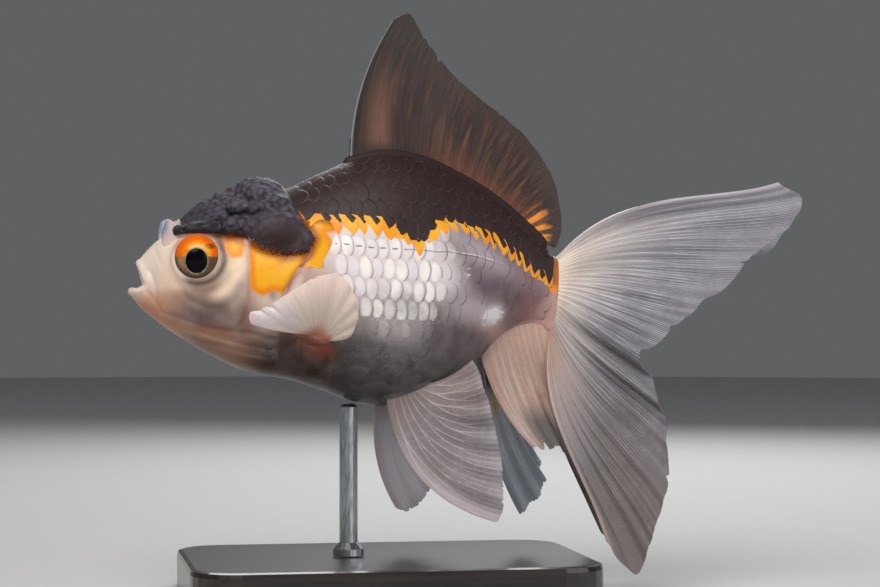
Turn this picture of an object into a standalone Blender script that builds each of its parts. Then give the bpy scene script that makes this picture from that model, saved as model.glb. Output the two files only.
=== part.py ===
"""Tricolour oranda goldfish, life size, swimming level above a low display stand.

The snout points along -X, the fish's left side faces -Y and +Z is up. The origin is the
middle of the stand's underside. Dimensions are in millimetres and the scene is in metres.
The body is one smooth loft, parted by thin cuts; every fin is a thin closed sheet.
"""

import math

import bmesh
import bpy
import numpy as np

MM = 0.001
GAP = 0.3  # clearance between neighbouring parts

# Body ---------------------------------------------------------------------------------
# Stations run from inside the mouth, out over the lips and back to the tail root.
# Each: top (x, z), bottom (x, z), half-width, how far the sides lag behind the mid-line.
STATIONS = {
    "throat": (-49.6, 68.6, -50.2, 66.8, 0.9, 0.4),
    "gullet": (-51.5, 70.4, -52.6, 66.2, 2.2, 1.0),
    "lip_rim": (-53.7, 71.6, -55.1, 66.4, 3.0, 1.9),
    "lip_face": (-53.6, 72.5, -55.3, 65.2, 4.0, 2.0),
    "snout": (-51.3, 75.2, -53.2, 62.4, 5.8, 1.3),
    "nostril": (-49.0, 77.2, -50.5, 60.1, 8.0, 0.6),
    "brow": (-46.0, 78.4, -46.9, 57.4, 9.8, 0.2),
    "eye": (-40.8, 81.4, -40.4, 53.3, 11.5, 0.0),
    "cheek": (-33.5, 84.6, -33.5, 49.7, 13.6, 0.0),
    "crown": (-27.0, 86.9, -27.4, 47.8, 15.1, 0.0),
    "nape": (-20.9, 88.6, -21.3, 46.7, 16.3, 0.0),
    "shoulder": (-14.3, 91.7, -14.7, 44.6, 17.2, 0.0),
    "dorsal_front": (-7.7, 94.4, -7.7, 42.0, 17.6, 0.0),
    "breast": (0.1, 96.0, -0.4, 40.8, 17.4, 0.0),
    "flank": (7.8, 94.9, 6.7, 42.9, 16.1, 0.0),
    "loin": (14.5, 92.1, 13.4, 45.3, 14.1, 0.0),
    "vent": (20.8, 88.7, 19.0, 49.0, 11.7, 0.0),
    "anal": (26.2, 85.0, 23.1, 54.0, 9.2, 0.0),
    "stalk_front": (30.7, 81.2, 27.6, 57.3, 7.0, 0.0),
    "stalk_mid": (34.8, 77.3, 32.5, 58.4, 5.3, 0.0),
    "stalk_end": (38.4, 72.6, 37.3, 57.3, 3.4, 0.0),
}
BELLY_FULLNESS = 0.10  # how much wider the lower half is than the upper half
BODY_RINGS = 41
BODY_SECTORS = 26

# Cuts ---------------------------------------------------------------------------------
REACH_X = (-70.0, 80.0)  # cutting blocks reach past the body to these planes
REACH_Y = 30.0
REACH_Z = (30.0, 105.0)
GILL_EDGE_X = -24.3  # rear edge of the gill opening, away from its swell
GILL_SWELL = 6.8
GILL_SWELL_Z = 76.5
GILL_SWELL_ABOVE = 9.0
GILL_SWELL_BELOW = 7.0
GILL_FRONT_X = -30.8
GILL_Z = (56.2, 83.0)
GILL_THICK = 1.4
GILL_TAPER = 5.0  # how far its front edge curves back at its two ends
CORE_START = 3.2  # station at which the core under the gill covers begins
JAW_HINGE = (-50.2, 60.4)
JAW_CORNER = (-52.5, 66.9)
STALK_STATION = 17.6  # cut between trunk and tail stalk, in stations

# Eyes ---------------------------------------------------------------------------------
EYE_CENTRE = (-41.6, 9.3, 73.0)
EYE_RADIUS = 5.1
EYE_DEPTH = 4.5

# Nostril flaps --------------------------------------------------------------------------
FLAP_STATION = 5.75
FLAP_ANGLE = 31
FLAP_HEIGHT = 4.9
FLAP_WIDTH = 3.5
FLAP_THICK = 0.7

# Hood of soft growth over the head ------------------------------------------------------
WEN_FRONT = (5.95, 6.15)  # station of its front edge, at the mid-line and at its sides
WEN_REAR = (9.75, 10.35)
WEN_BROW_Z = 79.0  # its lower border, over the eye
WEN_CHEEK_Z = 74.6  # its lower border, over the gill cover
WEN_THICK = 1.5
WEN_FOREHEAD = 24  # least angle it reaches down each side of the mid-line, in degrees
# Lobes: place along the hood 0..1, place across it 0..1, radius of each, height.
WEN_LOBES = (
    (0.32, 0.0, 0.36, 0.62, 1.3),
    (0.72, 0.0, 0.20, 0.22, 2.0),
    (0.62, 0.30, 0.13, 0.17, 1.2),
    (0.78, 0.36, 0.10, 0.16, 1.3),
    (0.50, 0.55, 0.16, 0.20, 0.5),
    (0.66, 0.62, 0.11, 0.16, 0.7),
    (0.84, 0.76, 0.19, 0.24, 1.5),
    (0.93, 0.40, 0.08, 0.18, 0.7),
)
WEN_ROWS = 14
WEN_COLUMNS = 22

# Fins ---------------------------------------------------------------------------------
# Rays: direction in degrees up from straight back, length, sideways bend of the ray in
# the fin's plane, and how far its tip stands out from the fish's mid-plane.
DORSAL = {
    "front": (73, 32.3, 2.4, 0.0),
    "crest": (77, 31.7, 3.3, 0.0),
    "notch": (78, 25.1, 3.9, 0.0),
    "third": (77, 20.6, 4.0, 0.0),
    "fourth": (73, 18.0, 3.7, 0.0),
    "fifth": (66, 16.5, 2.6, 0.0),
    "sixth": (56, 14.7, 1.2, 0.0),
    "seventh": (43, 12.2, 0.0, 0.0),
    "eighth": (27, 8.4, -0.5, 0.0),
    "rear": (-25, 3.4, 0.0, 0.0),
}
CAUDAL = {
    "upper_edge": (20, 51.5, 5.2, 9.0),
    "upper_tip": (15, 56.1, 3.8, 9.0),
    "upper_corner": (10, 52.5, 3.0, 10.0),
    "hem_fold": (6, 43.5, 2.3, 12.0),
    "hem_flap": (-1, 37.6, 1.5, 13.0),
    "hem": (-9, 30.4, 1.0, 14.0),
    "inner_hem": (-25, 24.4, 0.6, 15.0),
    "fork": (-38, 21.4, 0.0, 16.0),
    "lower_hem": (-45, 28.4, -0.9, 17.0),
    "lower_swell": (-53, 35.8, -2.0, 18.0),
    "lower_wave": (-58, 41.4, -2.8, 19.0),
    "lower_back": (-66, 47.4, -3.5, 20.0),
    "lower_tip": (-75, 54.6, -3.6, 21.0),
    "lower_edge": (-79, 45.5, -4.1, 20.0),
}
# The right half of the tail trails a little: its upper lobe hangs lower, its lower lobe
# is swept further back, and it stands out less.
CAUDAL_SWING = (-7.0, 8.0)
CAUDAL_SCALE = (1.0, 0.96)
CAUDAL_FLARE = 0.75
PELVIC_LEFT = {
    "leading": (-49, 35.0, -5.9, 14.0),
    "tip": (-47, 32.8, -5.5, 14.5),
    "hem": (-40, 26.8, -4.6, 14.5),
    "rear_hem": (-25, 19.0, -3.8, 14.0),
    "inner": (-1, 13.5, -3.0, 13.0),
    "innermost": (31, 11.0, -1.2, 11.5),
}
PELVIC_RIGHT = {
    "leading": (-78, 26.1, -2.4, 12.0),
    "tip": (-75, 27.2, -2.3, 13.0),
    "hem": (-67, 23.7, -2.8, 14.0),
    "rear_hem": (-53, 20.0, -3.4, 14.0),
    "inner": (-24, 15.7, -3.2, 12.5),
}
ANAL_LEFT = {
    "leading": (-63, 22.6, -1.6, 8.5),
    "hem": (-68, 26.6, -1.6, 8.0),
    "mid": (-70, 27.7, -1.3, 7.5),
    "tip": (-73, 30.4, -0.9, 6.5),
    "inner": (-80, 24.0, -0.4, 5.0),
}
ANAL_RIGHT = {
    "leading": (-72, 38.1, -2.1, 11.0),
    "hem": (-66, 36.5, -2.1, 11.5),
    "mid": (-68, 32.8, -1.8, 11.5),
    "rear_hem": (-76, 24.1, -0.6, 10.5),
    "inner": (-88, 16.6, 0.0, 8.5),
}
PECTORAL = {
    "leading": (171, 12.6, 0.6, 22.5),
    "tip": (162, 13.9, 0.6, 23.5),
    "notch": (150, 11.6, 0.4, 24.0),
    "shoulder": (131, 10.8, 0.2, 25.0),
    "crown": (110, 11.4, 0.0, 25.5),
    "top": (91, 12.8, 0.0, 25.5),
    "mid": (75, 13.2, 0.0, 25.0),
    "rear": (56, 10.6, 0.0, 23.5),
    "hem": (32, 7.3, 0.0, 21.5),
    "inner": (2, 4.0, 0.0, 19.5),
}
# Roots on the body: stations of the two ends, and degrees from the back at them.
DORSAL_ROOT = ((12.0, 19.1), (0, 0))
PELVIC_ROOT = ((12.95, 14.2), (158, 156))
ANAL_ROOT_LEFT = ((16.45, 19.8), (166, 160))
ANAL_ROOT_RIGHT = ((16.45, 18.2), (166, 160))
PECTORAL_ROOT = ((10.35, 10.95), (118, 122))
CAUDAL_ROOT_Y = 1.5
FIN_EDGE = 0.6  # thickness of a fin at its free edge
FIN_SKEW = 1.0  # 1 bends a ray most at its middle; more bends it nearer its root
CAUDAL_SKEW = 1.8

# Stand --------------------------------------------------------------------------------
BASE_LENGTH = 88.0
BASE_WIDTH = 60.0
BASE_HEIGHT = 8.0
BASE_CORNER = 10.0
BASE_CHAMFER = 1.2
ROD_X = -8.0
ROD_RADIUS = 2.0
ROD_COLLAR = 3.4
ROD_COLLAR_HEIGHT = 1.4
ROD_TIP = 0.7
ROD_SIDES = 16

LEFT = -1.0
RIGHT = 1.0


def clear_scene():
    for obj in list(bpy.data.objects):
        bpy.data.objects.remove(obj, do_unlink=True)


def curve(values, t):
    """Catmull-Rom value at t along evenly numbered values; t may be an array."""
    values = np.asarray(values, float)
    last = len(values) - 1
    t = np.clip(np.asarray(t, float), 0, last)
    i = np.minimum(t.astype(int), last - 1)
    f = t - i
    if values.ndim > 1:
        f = f[..., None]
    p1 = values[i]
    p2 = values[i + 1]
    p0 = np.where((i > 0)[..., None] if values.ndim > 1 else i > 0, values[i - 1], 2 * p1 - p2)
    after = np.minimum(i + 2, last)
    p3 = np.where(
        (i + 2 <= last)[..., None] if values.ndim > 1 else i + 2 <= last,
        values[after],
        2 * p2 - p1,
    )
    slope1 = (p2 - p0) / 2
    slope2 = (p3 - p1) / 2
    return (
        (2 * f**3 - 3 * f**2 + 1) * p1
        + (f**3 - 2 * f**2 + f) * slope1
        + (-2 * f**3 + 3 * f**2) * p2
        + (f**3 - f**2) * slope2
    )


def smooth(a, b, x):
    f = np.clip((x - a) / (b - a), 0.0, 1.0)
    return f * f * (3 - 2 * f)


STATION_ROWS = np.array(list(STATIONS.values()))


def body(s, angle, inset=0.0):
    """Point of the body at station s; angle 0 is the back, pi the belly, + the right."""
    s = np.asarray(s, float)
    angle = np.asarray(angle, float)
    row = curve(STATION_ROWS, s)
    top_x, top_z, low_x, low_z, wide, lag = np.moveaxis(row, -1, 0)
    mid_x = (top_x + low_x) / 2
    mid_z = (top_z + low_z) / 2
    up_x = (top_x - low_x) / 2
    up_z = (top_z - low_z) / 2
    reach = np.hypot(up_x, up_z)
    shrink = (reach - inset) / reach
    full = BELLY_FULLNESS * smooth(7.0, 11.0, s)
    side = np.sin(angle)
    x = mid_x + up_x * shrink * np.cos(angle) + lag * side**2
    y = (wide - inset) * side * (1 - full * np.cos(angle))
    z = mid_z + up_z * shrink * np.cos(angle) - lag * side**2
    return np.stack([x, y, z], axis=-1)


def body_out(s, angle, distance):
    """Point at a distance outside the body's surface, along its normal there."""
    step = 0.01
    along = body(s + step, angle) - body(s - step, angle)
    across = body(s, angle + step) - body(s, angle - step)
    normal = np.cross(across, along)
    normal /= np.linalg.norm(normal, axis=-1, keepdims=True)
    point = body(s, angle)
    centre = body(s, 0.0) / 2 + body(s, math.pi) / 2
    outward = np.sign(np.sum(normal * (point - centre), axis=-1, keepdims=True))
    return point + normal * outward * distance


def angle_at_height(s, z):
    """The angle from the back at which station s passes through height z."""
    row = curve(STATION_ROWS, s)
    middle = (row[..., 1] + row[..., 3]) / 2
    half = (row[..., 1] - row[..., 3]) / 2
    return np.arccos(np.clip((z - middle) / half, -1.0, 1.0))


def linked(name, shape):
    """An object from a bmesh in millimetres, with its faces turned out."""
    bmesh.ops.scale(shape, vec=(MM, MM, MM), verts=shape.verts)
    bmesh.ops.recalc_face_normals(shape, faces=shape.faces)
    mesh = bpy.data.meshes.new(name)
    shape.to_mesh(mesh)
    shape.free()
    obj = bpy.data.objects.new(name, mesh)
    bpy.context.scene.collection.objects.link(obj)
    return obj


def combined(obj, tool, operation):
    """Replaces obj's mesh by its boolean with tool."""
    modifier = obj.modifiers.new("cut", "BOOLEAN")
    modifier.operation = operation
    modifier.solver = "EXACT"
    modifier.object = tool
    graph = bpy.context.evaluated_depsgraph_get()
    mesh = bpy.data.meshes.new_from_object(obj.evaluated_get(graph))
    obj.modifiers.clear()
    obj.data = mesh
    return obj


def copy_of(obj, name):
    twin = bpy.data.objects.new(name, obj.data.copy())
    bpy.context.scene.collection.objects.link(twin)
    return twin


def discard(*objects):
    for obj in objects:
        bpy.data.objects.remove(obj, do_unlink=True)


def loft(name, rings):
    """Closed tube through rings of equal point counts, capped at both ends."""
    shape = bmesh.new()
    loops = [[shape.verts.new(point) for point in ring] for ring in rings]
    for one, two in zip(loops, loops[1:]):
        for j in range(len(one)):
            shape.faces.new((one[j - 1], one[j], two[j], two[j - 1]))
    shape.faces.new(loops[0])
    shape.faces.new(loops[-1])
    return linked(name, shape)


def body_solid(name, inset=0.0, start=0.0):
    angles = np.linspace(0, 2 * math.pi, BODY_SECTORS, endpoint=False)
    last = len(STATIONS) - 1
    return loft(name, [body(s, angles, inset) for s in np.linspace(start, last, BODY_RINGS)])


def sheet(name, top, bottom):
    """Closed solid between two grids of points of the same shape."""
    shape = bmesh.new()
    over, under = [
        [[shape.verts.new(point) for point in row] for row in grid] for grid in (top, bottom)
    ]
    rows, columns = top.shape[:2]
    for grid in (over, under):
        for i in range(rows - 1):
            for j in range(columns - 1):
                shape.faces.new((grid[i][j], grid[i][j + 1], grid[i + 1][j + 1], grid[i + 1][j]))
    rim = [(0, j) for j in range(columns - 1)]
    rim += [(i, columns - 1) for i in range(rows - 1)]
    rim += [(rows - 1, j) for j in range(columns - 1, 0, -1)]
    rim += [(i, 0) for i in range(rows - 1, 0, -1)]
    for (i, j), (k, m) in zip(rim, rim[1:] + rim[:1]):
        shape.faces.new((over[i][j], over[k][m], under[k][m], under[i][j]))
    return linked(name, shape)


def prism(name, outline, y_near, y_far):
    """An (x, z) outline extruded from one plane of constant y to another."""
    shape = bmesh.new()
    face = shape.faces.new([shape.verts.new((x, y_near, z)) for x, z in outline])
    grown = bmesh.ops.extrude_face_region(shape, geom=[face], use_keep_orig=True)
    moved = [v for v in grown["geom"] if isinstance(v, bmesh.types.BMVert)]
    bmesh.ops.translate(shape, vec=(0, y_far - y_near, 0), verts=moved)
    return linked(name, shape)


def ellipsoid(name, centre, radii, segments, rings):
    shape = bmesh.new()
    bmesh.ops.create_uvsphere(shape, u_segments=segments, v_segments=rings, radius=1.0)
    bmesh.ops.scale(shape, vec=radii, verts=shape.verts)
    bmesh.ops.translate(shape, vec=centre, verts=shape.verts)
    return linked(name, shape)


# Cuts through the body ------------------------------------------------------------------


def gill_edge(z, shift=0.0):
    """x of the gill cover's rear edge at height z."""
    spread = GILL_SWELL_ABOVE if z > GILL_SWELL_Z else GILL_SWELL_BELOW
    return GILL_EDGE_X + GILL_SWELL * math.exp(-(((z - GILL_SWELL_Z) / spread) ** 2)) + shift


def front_block(shift):
    """Everything ahead of the gill edge, which is moved back by shift."""
    low, high = REACH_Z
    outline = [(gill_edge(z, shift), z) for z in np.linspace(low, high, 76)]
    outline += [(REACH_X[0], high), (REACH_X[0], low)]
    return prism("front_block", outline, -REACH_Y, REACH_Y)


def stalk_block(shift):
    """Everything behind the cut between trunk and tail stalk."""
    row = curve(STATION_ROWS, np.array(STALK_STATION))
    lean = (row[0] - row[2]) / (row[1] - row[3])
    outline = [(row[2] + shift + lean * (z - row[3]), z) for z in REACH_Z]
    outline += [(REACH_X[1], z) for z in reversed(REACH_Z)]
    return prism("stalk_block", outline, -REACH_Y, REACH_Y)


def jaw_block(grow):
    corner_x, corner_z = JAW_CORNER
    hinge_x, hinge_z = JAW_HINGE
    outline = [
        (REACH_X[0], corner_z + grow),
        (corner_x + grow * 0.4, corner_z + grow),
        (hinge_x + grow, hinge_z + grow * 0.4),
        (hinge_x + grow, REACH_Z[0]),
        (REACH_X[0], REACH_Z[0]),
    ]
    return prism("jaw_block", outline, -REACH_Y, REACH_Y)


def gill_block(side, grow):
    """Prism over one gill cover, grown outwards by a little."""
    low, high = GILL_Z
    heights = np.linspace(low - grow, high + grow, 22)
    middle = (low + high) / 2
    half = (high - low) / 2 + grow
    front = []
    rear = []
    for z in heights:
        away = abs((z - middle) / half)
        start = GILL_FRONT_X - grow + GILL_TAPER * away**5
        # The rear edge is the gill opening itself, so that a grown block reaches past it.
        end = gill_edge(z, -GAP / 2 + 3 * grow)
        front.append((start, z))
        rear.append((end, z))
    outline = rear + front[::-1]
    return prism("gill_block", outline, side * EYE_CENTRE[1] / 3, side * REACH_Y)


def eye_centre(side):
    return (EYE_CENTRE[0], side * EYE_CENTRE[1], EYE_CENTRE[2])


def eye_solid(name, side, grow, segments, rings):
    radii = (EYE_RADIUS + grow, EYE_DEPTH + grow, EYE_RADIUS + grow)
    return ellipsoid(name, eye_centre(side), radii, segments, rings)


# Parts ----------------------------------------------------------------------------------


def make_body():
    whole = body_solid("whole")
    core = body_solid("core", GILL_THICK + GAP, CORE_START)
    under = body_solid("under", GILL_THICK, CORE_START)

    trunk = combined(copy_of(whole, "trunk"), front_block(GAP / 2), "DIFFERENCE")
    combined(trunk, stalk_block(-GAP / 2), "DIFFERENCE")
    stalk = combined(copy_of(whole, "tail_stalk"), stalk_block(GAP / 2), "INTERSECT")
    head = combined(copy_of(whole, "head"), front_block(-GAP / 2), "INTERSECT")
    jaw = combined(copy_of(head, "lower_jaw"), jaw_block(0.0), "INTERSECT")
    combined(head, jaw_block(GAP), "DIFFERENCE")

    covers = []
    for side, word in ((LEFT, "left"), (RIGHT, "right")):
        cover = combined(copy_of(whole, "gill_cover_" + word), gill_block(side, 0.0), "INTERSECT")
        combined(cover, under, "DIFFERENCE")
        pocket = combined(gill_block(side, GAP), core, "DIFFERENCE")
        combined(head, pocket, "DIFFERENCE")
        combined(head, eye_solid("socket", side, GAP, 16, 10), "DIFFERENCE")
        covers.append(cover)
    return [head, jaw, trunk, stalk] + covers


def make_wen():
    """Hood over the crown and cheeks: a padded cap whose outer face swells into lobes."""
    u = np.linspace(0, 1, WEN_ROWS)[:, None]
    v = np.linspace(-1, 1, WEN_COLUMNS + 1)[None, :]
    across = np.abs(v)
    start = WEN_FRONT[0] + (WEN_FRONT[1] - WEN_FRONT[0]) * across**2
    end = WEN_REAR[0] + (WEN_REAR[1] - WEN_REAR[0]) * smooth(0.15, 0.8, across)
    # The corners of the patch are rounded off.
    start = start + 0.35 * across**6
    end = end - 0.45 * across**8
    s = start + (end - start) * u
    border = WEN_BROW_Z + (WEN_CHEEK_Z - WEN_BROW_Z) * smooth(8.1, 9.2, s)
    angle = v * np.maximum(angle_at_height(s, border), math.radians(WEN_FOREHEAD))
    edge = np.minimum(np.minimum(u, 1 - u) * 7.0, (1 - across) * 5.0)
    rim = np.sqrt(1 - (1 - np.clip(edge, 0, 1)) ** 2)
    height = np.zeros(np.broadcast(u, v).shape)
    for place, out, long, wide, tall in WEN_LOBES:
        far = ((u - place) / long) ** 2 + ((across - out) / wide) ** 2
        height = np.maximum(height, tall * np.sqrt(np.clip(1 - far, 0, 1)))
    thick = FIN_EDGE + rim * (WEN_THICK - FIN_EDGE + height)
    inner = body_out(s, angle, GAP)
    outer = body_out(s, angle, GAP + thick[..., None])
    wen = sheet("wen", outer, inner)
    for side in (LEFT, RIGHT):
        combined(wen, eye_solid("socket", side, GAP, 16, 10), "DIFFERENCE")
    return wen


def make_fin(name, rays, root, side, splits, rows, base_thick, cup=0.0, skew=FIN_SKEW):
    """A fan of rays from a root line, as one sheet that thins towards its free edge.

    root gives the point at 0..1 along the root; cup bows the sheet outwards between root
    and tip.
    """
    data = np.array(list(rays.values()), float)
    t = np.linspace(0, len(data) - 1, (len(data) - 1) * splits + 1)
    turn, length, bend, flare = np.moveaxis(curve(data, t), -1, 0)
    turn = np.radians(turn)[:, None]
    length = length[:, None]
    v = np.linspace(0, 1, rows)[None, :]
    start = np.array([root(k) for k in t / t[-1]])[:, None, :]
    reach = length * v
    peak = 1 / (1 + skew)
    bow = bend[:, None] * v * (1 - v) ** skew / (peak * (1 - peak) ** skew)
    x = start[..., 0] + reach * np.cos(turn) - bow * np.sin(turn)
    z = start[..., 2] + reach * np.sin(turn) + bow * np.cos(turn)
    lean = v * (2 - v) if cup > 0 else v
    y = start[..., 1] + (side * flare[:, None] - start[..., 1]) * lean
    grid = np.stack([x, y, z], axis=-1)
    along = np.gradient(grid, axis=1)
    across = np.gradient(grid, axis=0)
    normal = np.cross(along, across)
    normal /= np.linalg.norm(normal, axis=-1, keepdims=True)
    half = (base_thick + (FIN_EDGE - base_thick) * np.sqrt(v)) / 2
    half = half[..., None] * np.ones_like(normal[..., :1])
    return sheet(name, grid + normal * half, grid - normal * half)


def root_on_body(ends, side, lift):
    """Root line that follows the body between two stations and two angles from the back."""
    stations, angles = ends

    def root(k):
        s = stations[0] + (stations[1] - stations[0]) * k
        angle = math.radians(angles[0] + (angles[1] - angles[0]) * k)
        return body_out(np.array(s), np.array(side * angle), lift)

    return root


def caudal_root(side):
    def root(k):
        end = np.array(len(STATIONS) - 1.0)
        point = body(end, np.array(math.pi * (0.04 + 0.92 * k)))
        return (point[0] + GAP + 0.5, side * CAUDAL_ROOT_Y, point[2])

    return root


def trailing(rays):
    """The rays of the tail's right half, from those of its left."""
    changed = {}
    for i, (name, (turn, length, bend, flare)) in enumerate(rays.items()):
        t = i / (len(rays) - 1)
        turn += CAUDAL_SWING[0] + (CAUDAL_SWING[1] - CAUDAL_SWING[0]) * t
        length *= CAUDAL_SCALE[0] + (CAUDAL_SCALE[1] - CAUDAL_SCALE[0]) * t
        changed[name] = (turn, length, bend, flare * CAUDAL_FLARE)
    return changed


def make_fins():
    root = root_on_body(DORSAL_ROOT, RIGHT, 0.45)
    fins = [make_fin("dorsal_fin", DORSAL, root, RIGHT, 2, 6, 1.4)]
    for side, word, pelvic, anal, anal_root, caudal in (
        (LEFT, "left", PELVIC_LEFT, ANAL_LEFT, ANAL_ROOT_LEFT, CAUDAL),
        (RIGHT, "right", PELVIC_RIGHT, ANAL_RIGHT, ANAL_ROOT_RIGHT, trailing(CAUDAL)),
    ):
        root = root_on_body(PELVIC_ROOT, side, 1.0)
        fins.append(make_fin("pelvic_fin_" + word, pelvic, root, side, 2, 6, 1.4))
        root = root_on_body(anal_root, side, 0.9)
        fins.append(make_fin("anal_fin_" + word, anal, root, side, 2, 6, 1.2))
        root = root_on_body(PECTORAL_ROOT, side, 1.2)
        fins.append(make_fin("pectoral_fin_" + word, PECTORAL, root, side, 1, 6, 1.4, 1.0))
        root = caudal_root(side)
        name = "caudal_fin_" + word
        fins.append(make_fin(name, caudal, root, side, 2, 7, 1.6, skew=CAUDAL_SKEW))
    return fins


def make_nostril_flap(side, word):
    """Small petal of skin that stands on the rim of the nostril."""
    u = np.linspace(-1, 1, 5)[:, None]
    v = np.linspace(0, 1, 5)[None, :]
    angle = side * math.radians(FLAP_ANGLE)
    foot = body_out(np.array(FLAP_STATION), np.array(angle), GAP + 0.2)
    width = FLAP_WIDTH * (0.29 + 0.21 * np.sin(math.pi * v * 0.95))
    x = foot[0] + u * width - 0.2 * v
    z = foot[2] + FLAP_HEIGHT * v * (1 - 0.18 * u**2)
    y = foot[1] + side * (0.3 * v + 0.3 * u**2)
    grid = np.stack(np.broadcast_arrays(x, y, z), axis=-1)
    out = np.array([0.0, FLAP_THICK / 2, 0.0])
    return sheet("nostril_flap_" + word, grid + out, grid - out)


def make_base():
    """Slab with rounded corners and a soft top edge."""
    shape = bmesh.new()
    bmesh.ops.create_cube(shape, size=1.0)
    bmesh.ops.scale(shape, vec=(BASE_LENGTH, BASE_WIDTH, BASE_HEIGHT), verts=shape.verts)
    bmesh.ops.translate(shape, vec=(0, 0, BASE_HEIGHT / 2), verts=shape.verts)
    upright = [e for e in shape.edges if abs(e.verts[0].co.z - e.verts[1].co.z) > 1]
    bmesh.ops.bevel(
        shape, geom=upright, offset=BASE_CORNER, segments=6, profile=0.5, affect="EDGES"
    )
    top_rim = [e for e in shape.edges if min(v.co.z for v in e.verts) > BASE_HEIGHT - 0.01]
    bmesh.ops.bevel(
        shape, geom=top_rim, offset=BASE_CHAMFER, segments=2, profile=0.6, affect="EDGES"
    )
    return linked("stand_base", shape)


def make_rod():
    """Rod turned about the upright axis, with a collar at its foot and a rounded tip."""
    belly = float(body(np.array(12.0), np.array(math.pi))[2])
    tip = belly - GAP - 0.35
    foot = BASE_HEIGHT + GAP
    profile = (
        (ROD_COLLAR, foot),
        (ROD_COLLAR, foot + ROD_COLLAR_HEIGHT),
        (ROD_RADIUS, foot + 2 * ROD_COLLAR_HEIGHT),
        (ROD_RADIUS, tip - ROD_TIP),
        (ROD_RADIUS - ROD_TIP, tip),
    )
    turns = np.linspace(0, 2 * math.pi, ROD_SIDES, endpoint=False)
    rings = []
    for radius, z in profile:
        ring = [(ROD_X + radius * math.cos(t), radius * math.sin(t), z) for t in turns]
        rings.append(ring)
    return loft("stand_rod", rings)


# Materials ------------------------------------------------------------------------------

# Colour, roughness, metallic of each named finish.
FINISHES = {
    "skin_pink": ((0.66, 0.50, 0.43), 0.42, 0.0),
    "skin_white": ((0.78, 0.74, 0.73), 0.36, 0.0),
    "hood_black": ((0.075, 0.065, 0.085), 0.55, 0.0),
    "gill_orange": ((0.90, 0.40, 0.05), 0.38, 0.0),
    "stalk_mauve": ((0.32, 0.24, 0.26), 0.38, 0.0),
    "fin_white": ((0.62, 0.58, 0.62), 0.40, 0.0),
    "fin_brown": ((0.08, 0.045, 0.035), 0.45, 0.0),
    "eye_orange": ((0.80, 0.28, 0.02), 0.12, 0.0),
    "stand_black": ((0.030, 0.028, 0.027), 0.38, 0.0),
    "rod_steel": ((0.55, 0.55, 0.56), 0.28, 1.0),
}
FINISH_OF = {
    "head": "skin_pink",
    "lower_jaw": "skin_pink",
    "nostril_flap": "skin_white",
    "wen": "hood_black",
    "gill_cover": "gill_orange",
    "eye": "eye_orange",
    "trunk": "skin_white",
    "tail_stalk": "stalk_mauve",
    "dorsal_fin": "fin_brown",
    "pectoral_fin": "fin_white",
    "pelvic_fin": "fin_white",
    "anal_fin": "fin_white",
    "caudal_fin": "fin_white",
    "stand_base": "stand_black",
    "stand_rod": "rod_steel",
}


def painted(obj):
    """Gives the node its own material, and smooth shading up to its sharp edges."""
    finish = next(f for word, f in FINISH_OF.items() if obj.name.startswith(word))
    colour, rough, metallic = FINISHES[finish]
    material = bpy.data.materials.new(obj.name + "_" + finish)
    material.use_nodes = True
    shader = material.node_tree.nodes["Principled BSDF"]
    shader.inputs["Base Color"].default_value = (*colour, 1.0)
    shader.inputs["Roughness"].default_value = rough
    shader.inputs["Metallic"].default_value = metallic
    obj.data.materials.clear()
    obj.data.materials.append(material)
    obj.data.shade_smooth()
    obj.data.set_sharp_from_angle(angle=math.radians(38))


def build():
    clear_scene()
    parts = make_body()
    parts.append(make_wen())
    for side, word in ((LEFT, "left"), (RIGHT, "right")):
        parts.append(eye_solid("eye_" + word, side, 0.0, 14, 9))
        parts.append(make_nostril_flap(side, word))
    parts += make_fins()
    parts += [make_base(), make_rod()]
    discard(*[obj for obj in bpy.data.objects if obj not in parts])
    for obj in parts:
        painted(obj)


build()
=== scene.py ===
"""Looks of the tricolour oranda goldfish: skin, hood, scales, fins, eyes and stand.

Shapes are worked out in millimetres in the part's frame and put into meshes in metres.
The fish's left side faces -Y and its snout points along -X. Colours are 8-bit display
values.
"""

import math

import bpy
import numpy as np
import openvdb as vdb
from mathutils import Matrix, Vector, kdtree, noise


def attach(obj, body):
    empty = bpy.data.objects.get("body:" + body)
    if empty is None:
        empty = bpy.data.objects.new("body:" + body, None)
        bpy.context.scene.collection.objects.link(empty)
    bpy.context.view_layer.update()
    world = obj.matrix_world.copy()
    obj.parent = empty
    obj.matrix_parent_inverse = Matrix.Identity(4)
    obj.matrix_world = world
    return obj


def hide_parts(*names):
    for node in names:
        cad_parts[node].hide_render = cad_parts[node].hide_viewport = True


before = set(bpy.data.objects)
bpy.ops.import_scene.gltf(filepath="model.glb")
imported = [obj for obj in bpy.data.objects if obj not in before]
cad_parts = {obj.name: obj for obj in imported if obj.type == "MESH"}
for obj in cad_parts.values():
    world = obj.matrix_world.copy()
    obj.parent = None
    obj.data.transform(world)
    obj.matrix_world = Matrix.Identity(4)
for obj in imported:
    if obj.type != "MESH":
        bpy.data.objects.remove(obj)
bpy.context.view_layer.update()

MM = 0.001
LEFT = -1.0
RIGHT = 1.0
SIDES = ((LEFT, "left"), (RIGHT, "right"))
SEED = 20

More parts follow.
